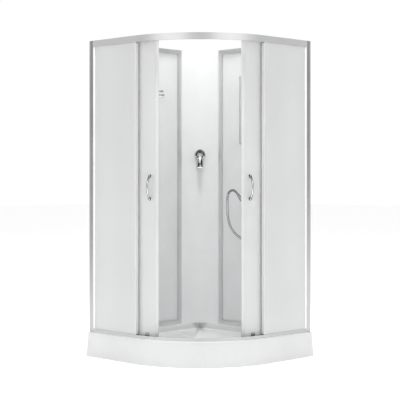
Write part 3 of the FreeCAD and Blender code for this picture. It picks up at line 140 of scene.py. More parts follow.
def node(tree: Tree, kind: str, settings: dict[str, object] | None = None, **inputs: object) -> ShaderNode:
    """Adds a node and sets it up.

    Args:
        tree: the node tree.
        kind: the node's type name.
        settings: properties of the node itself.
        inputs: its input sockets, as feed takes them.

    Returns:
        The new node.
    """
    made = tree.nodes.new(kind)
    for key, value in (settings or {}).items():
        setattr(made, key, value)
    feed(tree, made, **inputs)
    return made


def spread(tree: Tree, value: Socket, span: Span, low: object, high: object, soft: bool = False) -> Socket:
    """The socket of a value whose span is stretched to new limits, with soft ends if wanted."""
    settings = {"interpolation_type": "SMOOTHSTEP" if soft else "LINEAR"}
    return node(tree, "ShaderNodeMapRange", settings, _0=value, _1=span[0], _2=span[1], _3=low,
                _4=high).outputs[0]


def blend(tree: Tree, share: Socket, first: Colour, second: Colour) -> Socket:
    """The socket of two colours mixed by the second one's share."""
    return node(tree, "ShaderNodeMix", {"data_type": "RGBA"}, _0=share, _6=(*first, 1.0),
                _7=(*second, 1.0)).outputs[2]


def combined(tree: Tree, operation: str, first: Socket, second: Socket) -> Socket:
    """The socket of two values added or multiplied."""
    return node(tree, "ShaderNodeMath", {"operation": operation}, _0=first, _1=second).outputs[0]


class SharedGroups:
    """The surface effects that more than one finish uses, each built once."""

    GRAIN_SPAN: Span = (0.3, 0.7)
    CLOUD_SPAN: Span = (0.32, 0.68)
    DROP_EDGE: Span = (0.12, 0.2)
    DROP_PATCHES: Span = (0.52, 0.68)
    PATCH_SCALE = 7.0

    def __init__(self) -> None:
        """Starts with no group built."""
        self._built: dict[str, Tree] = {}

    def place(self, tree: Tree, name: str, **inputs: object) -> bpy.types.bpy_prop_collection:
        """Adds a group to a material's tree; the group itself is built at its first use.

        Args:
            tree: the material's node tree.
            name: which group.
            inputs: its input sockets, as feed takes them.

        Returns:
            The group node's outputs.
        """
        if name not in self._built:
            self._built[name] = getattr(self, "_" + name)()
        return node(tree, "ShaderNodeGroup", {"node_tree": self._built[name]}, **inputs).outputs

    def _drawn_grain(self) -> Tree:
        """Fine lines along one axis, as an extruded or brushed metal shows them.

        Returns:
            The group.
        """
        tree = new_group("drawn_grain", {
            "Vector": (GroupSocket.VECTOR, None), "Stretch": (GroupSocket.VECTOR, (1.0, 1.0, 0.01)),
            "Scale": (GroupSocket.VALUE, 900.0), "Low": (GroupSocket.VALUE, 0.3),
            "High": (GroupSocket.VALUE, 0.4),
        }, {"Value": GroupSocket.VALUE, "Height": GroupSocket.VALUE})
        source = tree.nodes["in"].outputs
        mapped = node(tree, "ShaderNodeMapping", Vector=source["Vector"], Scale=source["Stretch"])
        lines = node(tree, "ShaderNodeTexNoise", Vector=mapped.outputs["Vector"], Scale=source["Scale"],
                     Detail=3.0, Roughness=0.6).outputs["Fac"]
        feed(tree, tree.nodes["out"], Height=lines,
             Value=spread(tree, lines, self.GRAIN_SPAN, source["Low"], source["High"]))
        return tree

    def _soft_cloud(self) -> Tree:
        """A large soft unevenness, for tone and gloss that vary over a surface.

        Returns:
            The group.
        """
        tree = new_group("soft_cloud", {
            "Vector": (GroupSocket.VECTOR, None), "Scale": (GroupSocket.VALUE, 4.0),
            "Low": (GroupSocket.VALUE, 0.0), "High": (GroupSocket.VALUE, 1.0),
        }, {"Value": GroupSocket.VALUE})
        source = tree.nodes["in"].outputs
        cloud = node(tree, "ShaderNodeTexNoise", Vector=source["Vector"], Scale=source["Scale"], Detail=4.0,
                     Roughness=0.55).outputs["Fac"]
        feed(tree, tree.nodes["out"],
             Value=spread(tree, cloud, self.CLOUD_SPAN, source["Low"], source["High"]))
        return tree

    def _dried_drops(self) -> Tree:
        """Small round marks left by dried water, as a mask, in some patches of a surface.

        Returns:
            The group.
        """
        tree = new_group("dried_drops", {
            "Vector": (GroupSocket.VECTOR, None), "Scale": (GroupSocket.VALUE, 60.0),
            "Amount": (GroupSocket.VALUE, 0.2),
        }, {"Mask": GroupSocket.VALUE})
        source = tree.nodes["in"].outputs
        cells = node(tree, "ShaderNodeTexVoronoi", Vector=source["Vector"], Scale=source["Scale"],
                     Randomness=1.0).outputs["Distance"]
        where = node(tree, "ShaderNodeTexNoise", Vector=source["Vector"], Scale=self.PATCH_SCALE,
                     Detail=2.0).outputs["Fac"]
        drops = spread(tree, cells, self.DROP_EDGE, 1.0, 0.0, soft=True)
        patches = spread(tree, where, self.DROP_PATCHES, 0.0, source["Amount"])
        feed(tree, tree.nodes["out"], Mask=combined(tree, "MULTIPLY", drops, patches))
        return tree


GROUPS = SharedGroups()


# ------------------------------------------------------------------ finishes


@dataclass(frozen=True)
class Finish:
    """A surface finish: its own numbers, and how they become a material."""

    name: str
    slot: str

    def material(self) -> bpy.types.Material:
        """The Blender material, made at its first use.

        Returns:
            The material.
        """
        found = bpy.data.materials.get(self.name)
        if found is not None:
            return found
        made = bpy.data.materials.new(self.name)
        made.use_nodes = True
        where = node(made.node_tree, "ShaderNodeTexCoord").outputs["Object"]
        self.wire(made.node_tree, made.node_tree.nodes["Principled BSDF"], where)
        return made

    def wire(self, tree: Tree, shader: ShaderNode, where: Socket) -> None:
        """Sets the shader up from the object coordinates; each kind of finish has its own way."""
        raise NotImplementedError

    def dress(self, piece: Piece) -> None:
        """Puts the finish on a piece as its only material."""
        piece.data.materials.clear()
        piece.data.materials.append(self.material())


@dataclass(frozen=True)
class MetalFinish(Finish):
    """Metal with a drawn or brushed grain."""

    dark: Colour = (0.5, 0.5, 0.51)
    light: Colour = (0.6, 0.6, 0.61)
    roughness: Span = (0.25, 0.35)
    stretch: Point = (1.0, 1.0, 0.01)
    scale: float = 700.0
    cloud_scale: float = 3.0
    relief: float = 0.02
    depth: float = 0.0005

    def wire(self, tree: Tree, shader: ShaderNode, where: Socket) -> None:
        """Grain drives the roughness and a faint relief, and a soft cloud drives the tone.

        Args:
            tree: the node tree.
            shader: its shader.
            where: the object coordinates.
        """
        grain = GROUPS.place(tree, "drawn_grain", Vector=where, Stretch=self.stretch, Scale=self.scale,
                             Low=self.roughness[0], High=self.roughness[1])
        cloud = GROUPS.place(tree, "soft_cloud", Vector=where, Scale=self.cloud_scale)
        bump = node(tree, "ShaderNodeBump", Strength=self.relief, Distance=self.depth, Height=grain["Height"])
        feed(tree, shader, Base_Color=blend(tree, cloud["Value"], self.dark, self.light),
             Roughness=grain["Value"], Normal=bump.outputs[0], Metallic=1.0)


@dataclass(frozen=True)
class ChromeFinish(Finish):
    """Polished chrome with a few dried drops on it, and a dark reflection painted into its colour where it
    turns away from the eye.
    """

    tone: Colour = (0.82, 0.83, 0.84)
    # edge: the near-black colour painted in as a reflection where the chrome turns away from the eye
    edge: Colour = (0.02, 0.0205, 0.0215)
    painted_reflection_span: Span = (0.14, 0.42)
    roughness: float = 0.05
    haze: float = 0.05
    cloud_scale: float = 14.0
    drop_scale: float = 260.0
    drops: float = 0.12

    def wire(self, tree: Tree, shader: ShaderNode, where: Socket) -> None:
        """Dried drops and a soft cloud dull the gloss, and a dark reflection is painted into the tone towards
        the outline.

        Args:
            tree: the node tree.
            shader: its shader.
            where: the object coordinates.
        """
        drops = GROUPS.place(tree, "dried_drops", Vector=where, Scale=self.drop_scale, Amount=self.drops)
        cloud = GROUPS.place(tree, "soft_cloud", Vector=where, Scale=self.cloud_scale,
                             Low=self.roughness, High=self.roughness + self.haze)
        # painted reflection: the view angle darkens the base colour towards the outline
        facing = node(tree, "ShaderNodeLayerWeight", Blend=0.5).outputs["Facing"]
        painted_rim_reflection = spread(tree, facing, self.painted_reflection_span, 0.0, 1.0, soft=True)
        feed(tree, shader, Base_Color=blend(tree, painted_rim_reflection, self.tone, self.edge),
             Roughness=combined(tree, "ADD", cloud["Value"], drops["Mask"]), Metallic=1.0)


@dataclass(frozen=True)
class GlazeFinish(Finish):
    """A smooth moulded or lacquered surface: acrylic, plastic or painted panel."""

    dark: Colour
    light: Colour
    roughness: Span = (0.12, 0.2)
    coat: float = 0.3
    coat_roughness: float = 0.08
    cloud_scale: float = 6.0
    gloss_scale: float = 13.8
    peel_scale: float = 420.0
    relief: float = 0.02
    depth: float = 0.0004

    def wire(self, tree: Tree, shader: ShaderNode, where: Socket) -> None:
        """One cloud drives the tone, a finer one the gloss, and a third a faint orange-peel relief.

        Args:
            tree: the node tree.
            shader: its shader.
            where: the object coordinates.
        """
        cloud = GROUPS.place(tree, "soft_cloud", Vector=where, Scale=self.cloud_scale)
        gloss = GROUPS.place(tree, "soft_cloud", Vector=where, Scale=self.gloss_scale,
                             Low=self.roughness[0], High=self.roughness[1])
        peel = GROUPS.place(tree, "soft_cloud", Vector=where, Scale=self.peel_scale)
        bump = node(tree, "ShaderNodeBump", Strength=self.relief, Distance=self.depth, Height=peel["Value"])
        feed(tree, shader, Base_Color=blend(tree, cloud["Value"], self.dark, self.light),
             Roughness=gloss["Value"], Normal=bump.outputs[0], Coat_Weight=self.coat,
             Coat_Roughness=self.coat_roughness)


@dataclass(frozen=True)
class GlassFinish(Finish):
    """Clear or satin-etched glass, or a translucent plastic."""

    dark: Colour
    light: Colour
    roughness: Span = (0.0, 0.02)
    transmission: float = 1.0
    index: float = 1.5
    cloud_scale: float = 2.2
    etch_scale: float = 30.0
    drop_scale: float = 160.0
    drops: float = 0.03

    def wire(self, tree: Tree, shader: ShaderNode, where: Socket) -> None:
        """A cloud drives the tone, and an etch cloud and dried drops the roughness.

        Args:
            tree: the node tree.
            shader: its shader.
            where: the object coordinates.
        """
        etch = GROUPS.place(tree, "soft_cloud", Vector=where, Scale=self.etch_scale,
                            Low=self.roughness[0], High=self.roughness[1])
        drops = GROUPS.place(tree, "dried_drops", Vector=where, Scale=self.drop_scale, Amount=self.drops)
        cloud = GROUPS.place(tree, "soft_cloud", Vector=where, Scale=self.cloud_scale)
        feed(tree, shader, Base_Color=blend(tree, cloud["Value"], self.dark, self.light),
             Roughness=combined(tree, "ADD", etch["Value"], drops["Mask"]),
             Transmission_Weight=self.transmission, IOR=self.index)


BENT_ALONG: Point = (0.02, 0.02, 1.0)
EVEN: Point = (1.0, 1.0, 1.0)

SILL = MetalFinish("bent_sill_aluminium", "aluminium", (0.46, 0.463, 0.468), (0.52, 0.523, 0.528),
                   roughness=(0.28, 0.38), stretch=BENT_ALONG)
SATIN = MetalFinish("satin_aluminium", "aluminium", (0.45, 0.452, 0.456), (0.52, 0.522, 0.526),
                    roughness=(0.3, 0.42))
FRAME = MetalFinish("pale_aluminium", "aluminium", (0.74, 0.743, 0.748), (0.8, 0.803, 0.808),
                    roughness=(0.36, 0.48))
RAIL = MetalFinish("bent_rail_aluminium", "aluminium", (0.82, 0.823, 0.828), (0.88, 0.883, 0.888),
                   roughness=(0.31, 0.41), stretch=BENT_ALONG)
ZINC = MetalFinish("zinc_plate", "zinc_steel", (0.5, 0.51, 0.53), (0.66, 0.67, 0.68),
                   roughness=(0.35, 0.5), stretch=EVEN, scale=60.0)
STEEL = MetalFinish("screw_steel", "bright_steel", roughness=(0.2, 0.3), stretch=EVEN, scale=300.0)
BRASS = MetalFinish("cast_brass", "brass", (0.55, 0.42, 0.2), (0.68, 0.52, 0.26),
                    roughness=(0.3, 0.45), stretch=EVEN, scale=120.0)
# Each chrome finish below carries a painted dark reflection at its outline; the mirror's edge colour equals
# its tone, so none shows there.
CHROME = ChromeFinish("polished_chrome", "chrome")
MIRROR = ChromeFinish("silvered_mirror", "mirror", (0.7, 0.705, 0.71), (0.7, 0.705, 0.71), roughness=0.02)
PLATED = ChromeFinish("plated_casting", "chrome", (0.42, 0.423, 0.428), roughness=0.3)
HANDLE = ChromeFinish("handle_chrome", "chrome", (0.94, 0.943, 0.948), painted_reflection_span=(0.04, 0.26), roughness=0.18)
ACRYLIC = GlazeFinish("white_acrylic", "acrylic", (0.59, 0.592, 0.596), (0.62, 0.622, 0.626))
PANEL = GlazeFinish("white_lacquer", "white_panel", (0.89, 0.892, 0.894), (0.92, 0.922, 0.924),
                    roughness=(0.4, 0.5), coat=0.06)
BACK_PAINT = GlazeFinish("back_painted_glass", "white_glass", (0.79, 0.793, 0.796),
                         (0.83, 0.833, 0.836), roughness=(0.16, 0.24))
SEAL = GlazeFinish("white_profile", "seal", (0.6, 0.6, 0.6), (0.64, 0.64, 0.64),
                   roughness=(0.35, 0.5), coat=0.0)
EDGING = GlazeFinish("pearl_edging", "seal", (0.6, 0.603, 0.606), (0.64, 0.643, 0.646),
                     roughness=(0.35, 0.5), coat=0.0)
BEAD = GlazeFinish("white_glazing_bead", "bright_aluminium", (0.78, 0.782, 0.785),
                   (0.82, 0.822, 0.825), roughness=(0.25, 0.35), coat=0.15)
SEALANT = GlazeFinish("white_sealant", "seal", (0.78, 0.78, 0.78), (0.84, 0.84, 0.84),
                      roughness=(0.25, 0.4), coat=0.1)
NYLON = GlazeFinish("white_nylon", "nylon", (0.8, 0.8, 0.78), (0.86, 0.86, 0.84),
                    roughness=(0.35, 0.5), coat=0.0)
RUBBER = GlazeFinish("dark_rubber", "dark_rubber", (0.03, 0.03, 0.03), (0.05, 0.05, 0.05),
                     roughness=(0.6, 0.8), coat=0.0)
GREY = GlazeFinish("grey_moulding", "grey_plastic", (0.5, 0.51, 0.52), (0.56, 0.57, 0.58),
                   roughness=(0.3, 0.45), coat=0.0)
FROSTED = GlassFinish("satin_etched_glass", "frosted_glass", (0.75, 0.753, 0.755),
                      (0.78, 0.783, 0.785), roughness=(0.32, 0.38), transmission=0.3, drops=0.0)
VINYL = GlassFinish("translucent_vinyl", "seal", (0.9, 0.903, 0.903), (0.93, 0.933, 0.933),
                    roughness=(0.3, 0.36), transmission=0.3)
CLEAR = GlassFinish("clear_glass", "clear_glass", (0.92, 0.96, 0.95), (0.94, 0.98, 0.97))


# ------------------------------------------------------------------ modelling helpers


NODE_WELD = 0.00001
SHAPE_WELD = 0.000005
FLAT = math.radians(0.4)
NODE_CREASE = 30.0


def deselect() -> None:
    """Leaves nothing selected."""
    for item in bpy.context.selected_objects:
        item.select_set(False)


def select_only(piece: Piece) -> None:
    """Makes a piece the only selected and the active one.

    Args:
        piece: the piece.
    """
    deselect()
    piece.select_set(True)
    bpy.context.view_layer.objects.active = piece


def smooth(piece: Piece, degrees: float) -> None:
    """Shades a piece smooth, with an edge kept sharp where it turns by more than an angle."""
    select_only(piece)
    bpy.ops.object.shade_smooth_by_angle(angle=math.radians(degrees))


def edit_all(piece: Piece) -> None:
    """Goes into edit mode on a piece with all of it selected.

    Args:
        piece: the piece.
    """
    select_only(piece)
    bpy.ops.object.mode_set(mode="EDIT")
    bpy.ops.mesh.select_all(action="SELECT")


def close_edit(piece: Piece) -> Piece:
    """Merges doubles, points all faces outwards and leaves edit mode.

    Args:
        piece: the piece that is being edited.

    Returns:
        The same piece.
    """
    bpy.ops.mesh.select_all(action="SELECT")
    bpy.ops.mesh.remove_doubles(threshold=SHAPE_WELD)
    bpy.ops.mesh.normals_make_consistent(inside=False)
    bpy.ops.object.mode_set(mode="OBJECT")
    return piece


def put(piece: Piece, place: Matrix) -> None:
    """Moves a shape to its place and applies the move, so that its object stays at the origin.

    Args:
        piece: the shape.
        place: its place.
    """
    select_only(piece)
    piece.matrix_world = place
    bpy.ops.object.transform_apply(location=True, rotation=True, scale=True)


def started(name: str, size: Point | None = None) -> Piece:
    """Names and sizes the new primitive, applies its place and opens it for editing.

    Args:
        name: the shape's name.
        size: its scale, if the primitive came without one.

    Returns:
        The shape, in edit mode.
    """
    piece = bpy.context.object
    piece.name = name
    if size is not None:
        piece.scale = size
        bpy.context.view_layer.update()
    put(piece, piece.matrix_world.copy())
    edit_all(piece)
    return piece


def copied(piece: Piece, name: str) -> Piece:
    """A copy of a piece with a mesh of its own.

    Args:
        piece: the piece.
        name: the copy's name.

    Returns:
        The copy.
    """
    twin = bpy.data.objects.new(name, piece.data.copy())
    bpy.context.scene.collection.objects.link(twin)
    return twin


def joined(name: str, pieces: Sequence[Piece]) -> Piece:
    """Joins shapes into one piece.

    Args:
        name: the piece's name.
        pieces: the shapes; the first takes the others in.

    Returns:
        The piece.
    """
    deselect()
    for piece in pieces:
        piece.select_set(True)
    bpy.context.view_layer.objects.active = pieces[0]
    bpy.ops.object.join()
    pieces[0].name = name
    return pieces[0]


def turned(name: str, profile: Sequence[Span], segments: int) -> Piece:
    """A round shape about the Z axis, raised ring by ring from a disc.

    Args:
        name: the shape's name.
        profile: height and radius of each ring, from the foot on.
        segments: how many corners a ring has.

    Returns:
        The closed shape.
    """
    height, radius = profile[0]
    deselect()
    bpy.ops.mesh.primitive_circle_add(vertices=segments, radius=radius, fill_type="NGON",
                                      location=(0.0, 0.0, height))
    piece = started(name)
    for next_height, next_radius in profile[1:]:
        bpy.ops.mesh.extrude_region_move(TRANSFORM_OT_translate={"value": (0.0, 0.0, next_height - height)})
        share = next_radius / radius
        bpy.ops.transform.resize(value=(share, share, 1.0), center_override=(0.0, 0.0, next_height))
        height, radius = next_height, next_radius
    return close_edit(piece)


def block(name: str, low: Sequence[float], high: Sequence[float], rounding: Rounding) -> Piece:
    """A block with all its edges rounded.

    Args:
        name: the shape's name.
        low: its lowest corner.
        high: its highest corner.
        rounding: how its edges are rounded.

    Returns:
        The block.
    """
    size = [top - bottom for bottom, top in zip(low, high)]
    middle = [(top + bottom) / 2 for bottom, top in zip(low, high)]
    deselect()
    bpy.ops.mesh.primitive_cube_add(size=1.0, location=middle, scale=size)
    piece = started(name)
    width, segments = rounding.value
    bpy.ops.mesh.bevel(offset=width, segments=segments, affect="EDGES")
    return close_edit(piece)


def pick_faces(piece: Piece, wanted: Callable[[bpy.types.MeshPolygon], bool]) -> None:
    """Selects the faces that pass a test, in edit mode, and nothing else.

    Args:
        piece: the piece, in edit mode.
        wanted: the test of a face.
    """
    bpy.ops.mesh.select_all(action="DESELECT")
    bpy.ops.object.mode_set(mode="OBJECT")
    for face in piece.data.polygons:
        face.select = wanted(face)
    bpy.ops.object.mode_set(mode="EDIT")
    bpy.context.tool_settings.mesh_select_mode = (False, False, True)


def fitted(piece: Piece, finish: Finish, body: str, *sources: str, degrees: float = 35.0,
           slot: str = "") -> None:
    """Dresses a finished piece and says what it rides on and stands for.

    Args:
        piece: the piece.
        finish: its finish.
        body: the CAD body that it rides on.
        sources: the CAD nodes that it stands for, if any.
        degrees: an edge that turns by more than this stays sharp.
        slot: its slot, if it isn't the finish's own; not used.
    """
    smooth(piece, degrees)
    finish.dress(piece)
    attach(piece, body)
    if sources:
        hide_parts(*sources)
    log.info("%s stands for %s: %d faces", piece.name, ", ".join(sources) or "no node",
             len(piece.data.polygons))


def softened(source: str, name: str, finish: Finish, rounding: Rounding = Rounding.NONE,
             body: str = ROOT) -> Piece:
    """A copy of a CAD node with its faces joined up, its edges rounded and its curves shaded smooth.

    Args:
        source: the CAD node that the piece replaces.
        name: the new piece's name.
        finish: its finish.
        rounding: how its edges are rounded.
        body: the CAD body that it rides on.

    Returns:
        The new piece.
    """
    piece = copied(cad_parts[source], name)
    edit_all(piece)
    bpy.ops.mesh.remove_doubles(threshold=NODE_WELD)
    bpy.ops.mesh.dissolve_limited(angle_limit=FLAT)
    bpy.ops.object.mode_set(mode="OBJECT")
    if rounding is not Rounding.NONE:
        bevel = piece.modifiers.new("rounding", "BEVEL")
        bevel.width, bevel.segments = rounding.value
        bevel.limit_method = "ANGLE"
        bevel.angle_limit = math.radians(NODE_CREASE)
        bevel.use_clamp_overlap = True
        bevel.harden_normals = False
        bpy.ops.object.modifier_apply(modifier=bevel.name)
    fitted(piece, finish, body, source, degrees=NODE_CREASE)
    return piece


def finish_node(source: str, finish: Finish) -> None:
    """Gives a CAD node that stays its finish."""
    finish.dress(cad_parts[source])
    log.info("%s keeps its CAD shape, in %s", source, finish.name)


# ------------------------------------------------------------------ sub-assemblies


@dataclass
class ShowerTray:
    """The acrylic tray with what stands under it and its drain."""

    bead: float = 0.0022
    bead_facets: int = 10
    bead_sink: float = 0.0004
    straight: float = 0.387
    arc_radius: float = 0.55
    arc_steps: int = 40
    top: float = 0.15

    def sealant(self) -> None:
        """A bead of sealant along the sill: a disc run straight, spun round the arc and run on."""
        start = (ARC_CENTRE[0] - self.straight, ARC_CENTRE[1] - self.arc_radius, self.top - self.bead_sink)
        deselect()
        bpy.ops.mesh.primitive_circle_add(vertices=self.bead_facets, radius=self.bead, fill_type="NGON",
                                          location=start, rotation=(0.0, QUARTER, 0.0))
        piece = started("outer_sill_bead")
        bpy.ops.mesh.extrude_region_move(TRANSFORM_OT_translate={"value": (self.straight, 0.0, 0.0)})
        bpy.ops.mesh.spin(steps=self.arc_steps, angle=-QUARTER, center=ARC_CENTRE, axis=UP)
        bpy.ops.mesh.extrude_region_move(TRANSFORM_OT_translate={"value": (0.0, self.straight, 0.0)})
        fitted(close_edit(piece), SEALANT, ROOT)

    def build(self) -> None:
        """Builds the tray's pieces."""
        softened("shower_tray", "tray_shell", ACRYLIC, Rounding.MOULDED)
        self.sealant()
        softened("drain_cover", "drain_cover_plate", CHROME, Rounding.PLATE)
        softened("drain_trap", "trap_and_waste", GREY, Rounding.BROAD)
        softened("tray_support", "bearers", ZINC, Rounding.WELDED)
        softened("tray_feet", "levelling_feet", ZINC, Rounding.CAST)


@dataclass
class EntryFrame:
    """Corner posts, bent rails, fixed panes and their seals."""

    def build(self) -> None:
        """Builds the entry frame's pieces."""
        softened("top_rail", "bent_top_rail", RAIL)
        softened("bottom_rail", "bent_bottom_rail", SILL)
        softened("door_stops", "rubber_stops", RUBBER, Rounding.BROAD)
        softened("frame_screws", "post_screws", STEEL, Rounding.FINE)
        for side in (side.value for side in Side):
            softened(f"{side}_jamb", f"{side}_corner_post", SATIN, Rounding.EASED)
            softened(f"{side}_glazing_post", f"{side}_glazing_bead", BEAD, Rounding.EASED)
            softened(f"{side}_fixed_glass", f"{side}_fixed_pane", FROSTED, Rounding.GROUND)
            softened(f"{side}_edge_seal", f"{side}_pane_seal", EDGING, Rounding.GROUND)


@dataclass
class RearWalls:
    """The two panelled walls and the concave corner column."""

    cove_middle: Point = (-0.2775, 0.2775, 0.0)
    cove_radius: float = 0.1725
    cove_skin: float = 0.003
    cove_flange: float = 0.022
    cove_low: float = 0.135
    cove_high: float = 1.947
    cove_steps: int = 60

    def column(self) -> None:
        """The column: a strip of the skin spun through a quarter turn, with a return at each end."""
        x, y, _ = self.cove_middle
        outer, skin, low, high = self.cove_radius, self.cove_skin, self.cove_low, self.cove_high
        deselect()
        bpy.ops.mesh.primitive_plane_add(size=1.0, location=(x, y + outer + skin / 2, (low + high) / 2),
                                         rotation=(0.0, QUARTER, 0.0))
        cove = started("cove", (high - low, skin, 1.0))
        bpy.ops.mesh.spin(steps=self.cove_steps, angle=-QUARTER, center=self.cove_middle, axis=UP)
        close_edit(cove)
        rear = block("rear_return", (x - skin, y + outer, low), (x, y + outer + self.cove_flange, high),
                     Rounding.EASED)
        left = block("left_return", (x - outer - self.cove_flange, y, low), (x - outer, y + skin, high),
                     Rounding.EASED)
        fitted(joined("cove_column", [cove, rear, left]), PANEL, ROOT, "corner_column")

    def build(self) -> None:
        """Builds both walls and the column."""
        for side in (side.value for side in Side):
            softened(f"{side}_wall_frame", f"{side}_wall_ring", FRAME, Rounding.BROAD)
            finish_node(f"{side}_wall_glass", BACK_PAINT)
        self.column()


@dataclass
class LeverMixer:
    """The concealed mixer."""

    def build(self) -> None:
        """Builds plate, knuckle, lever and the valve behind the column."""
        softened("mixer_plate", "round_plate", CHROME, Rounding.PLATE)
        softened("mixer_valve", "valve_barrel", BRASS, Rounding.CAST)
        softened("mixer_knuckle", "turning_knuckle", CHROME, body="mixer_knuckle")
        softened("mixer_lever", "tilting_lever", CHROME, Rounding.MOULDED, "mixer_lever")


@dataclass
class RibbedHose:
    """The ribbed metal hose, drawn along the route's own smooth line."""

    radius: float = 0.007
    pitch: float = 0.012
    groove: float = 0.0012
    groove_top: float = 0.0016
    groove_foot: float = 0.0006
    sight: float = 0.002
    hair: float = 1e-12
    facets: int = 20
    length: float = 1.45
    crease: float = 50.0
    route: Sequence[Point] = (
        (-0.021, 0.3696, 0.9914), (-0.021, 0.3392, 1.0218), (-0.021, 0.2962, 1.0218),
        (-0.021, 0.2658, 0.9914), (-0.022, 0.269, 0.915), (-0.023, 0.274, 0.838), (-0.003, 0.284, 0.775),
        (0.045, 0.298, 0.728), (0.107, 0.314, 0.7), (0.173, 0.332, 0.706), (0.221, 0.348, 0.756),
        (0.242, 0.361, 0.834), (0.247, 0.377, 0.95), (0.243, 0.396, 1.09), (0.237, 0.415, 1.23),
        (0.23, 0.427, 1.355), (0.225, 0.42514, 1.47534), (0.225, 0.39667, 1.58159))

    def line(self) -> list[Vector]:
        """The route's NURBS line, as Blender draws it.

        Returns:
            Points along the line.
        """
        curve = bpy.data.curves.new("hose_route", "CURVE")
        curve.dimensions = "3D"
        curve.resolution_u = 24
        spline = curve.splines.new("NURBS")
        spline.points.add(len(self.route) - 1)
        for knot, place in zip(spline.points, self.route):
            knot.co = (*place, 1.0)
        spline.order_u = 3
        spline.use_endpoint_u = True
        holder = bpy.data.objects.new("hose_route", curve)
        bpy.context.scene.collection.objects.link(holder)
        bpy.context.view_layer.update()
        drawn = bpy.data.meshes.new_from_object(holder)
        points = [vertex.co.copy() for vertex in drawn.vertices]
        bpy.data.objects.remove(holder)
        bpy.data.meshes.remove(drawn)
        return points

    def stops(self, total: float) -> list[Span]:
        """The rings of the tube, with four to a groove.

        Args:
            total: the length of the line.

        Returns:
            The distance and radius of each ring.
        """
        top, foot, deep = self.groove_top, self.groove_foot, self.radius - self.groove
        rings = [(0.0, self.radius)]
        count = int(total / self.pitch)
        for rib in range(count):
            middle = (rib + 0.5) * total / count
            rings += [(middle - top, self.radius), (middle - foot, deep),
                      (middle + foot, deep), (middle + top, self.radius)]
        return rings + [(total, self.radius)]

    def along(self, line: Sequence[Vector], reach: Sequence[float], distance: float) -> Vector:
        """The point at a distance along a line.

        Args:
            line: the line's points.
            reach: how far along it each of them lies.
            distance: the distance.

        Returns:
            The point.
        """
        distance = min(max(distance, 0.0), reach[-1])
        index = max(1, bisect_left(reach, distance - self.hair))
        step = reach[index] - reach[index - 1]
        share = (distance - reach[index - 1]) / step if step > 0 else 0.0
        return line[index - 1].lerp(line[index], share)

    def tube(self, line: Sequence[Vector]) -> Piece:
        """The hose's closed mesh round a line.

        Args:
            line: points along the hose's middle.

        Returns:
            The hose.
        """
        reach = [0.0]
        for before, after in zip(line, line[1:]):
            reach.append(reach[-1] + (after - before).length)
        mesh = bmesh.new()
        across = Vector((1.0, 0.0, 0.0))
        turns = [2 * math.pi * n / self.facets for n in range(self.facets)]
        rings = []
        for distance, radius in self.stops(reach[-1]):
            behind, middle, beyond = (self.along(line, reach, distance + step)
                                      for step in (-self.sight, 0.0, self.sight))
            ahead = (beyond - behind).normalized()
            across = (across - ahead * across.dot(ahead)).normalized()
            other = ahead.cross(across)
            rings.append([mesh.verts.new(middle + (across * math.cos(turn) + other * math.sin(turn)) * radius)
                          for turn in turns])
        for near, far in zip(rings, rings[1:]):
            for n in range(self.facets):
                following = (n + 1) % self.facets
                mesh.faces.new((near[n], near[following], far[following], far[n]))
        mesh.faces.new(reversed(rings[0]))
        mesh.faces.new(rings[-1])
        bmesh.ops.recalc_face_normals(mesh, faces=mesh.faces)
        data = bpy.data.meshes.new("ribbed_hose")
        mesh.to_mesh(data)
        mesh.free()
        hose = bpy.data.objects.new("ribbed_hose", data)
        bpy.context.scene.collection.objects.link(hose)
        log.info("hose: %.3f m along its middle", reach[-1])
        return hose

    def build(self) -> None:
        line = self.line()
        hose = self.tube(line)
        fitted(hose, CHROME, ROOT, "shower_hose", degrees=self.crease, slot="hose_steel")
        nuts = [softened("outlet_nut", "lower_hose_nut", CHROME, Rounding.EASED),
                softened("handset_nut", "upper_hose_nut", CHROME, Rounding.EASED)]


@dataclass
class RightWallFittings:
    """Outlet, hand shower with holder, mirror and rod."""

    facet: float = 0.008
    facet_drop: float = 0.0016
    facet_crease: float = 5.0
    facing: float = -0.99
    large: float = 0.05
    front: float = 0.001

    def mirror_pane(self) -> None:
        """The mirror with its ground facet all round the front."""
        low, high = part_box("mirror")
        piece = block("mirror_pane", tuple(low), tuple(high), Rounding.GROUND)
        edit_all(piece)
        pick_faces(piece, lambda face: face.normal.y < self.facing and face.area > self.large)
        bpy.ops.mesh.inset(thickness=self.facet, depth=0.0)
        bpy.ops.object.mode_set(mode="OBJECT")
        ahead = [face for face in piece.data.polygons if face.normal.y < self.facing]
        inner = set(max(ahead, key=lambda face: face.area).vertices)
        for vertex in piece.data.vertices:
            vertex.select = vertex.co.y < low[1] + self.front and vertex.index not in inner
        bpy.context.tool_settings.mesh_select_mode = (True, False, False)
        bpy.ops.object.mode_set(mode="EDIT")
        bpy.ops.transform.translate(value=(0.0, self.facet_drop, 0.0))
        fitted(close_edit(piece), MIRROR, ROOT, "mirror", degrees=self.facet_crease)

    def build(self) -> None:
        """Builds the pieces on the right wall."""
        softened("hose_outlet", "wall_outlet", CHROME, Rounding.EASED)
        softened("hand_shower", "handset", CHROME, Rounding.EASED)
        softened("spray_plate", "spray_face", GREY, Rounding.FINE)
        softened("handset_holder", "handset_cradle", CHROME, Rounding.EASED)
        self.mirror_pane()
        softened("mirror_rod", "ball_ended_rod", CHROME)


@dataclass
class LeftWallShelf:
    """The glass shelf with its gallery."""

    def build(self) -> None:
        """Builds the shelf's pieces."""
        softened("shelf_glass", "shelf_pane", CLEAR, Rounding.EASED)
        softened("shelf_gallery", "gallery_rods", CHROME)
        softened("shelf_clamps", "shelf_clips", CHROME, Rounding.MOULDED)


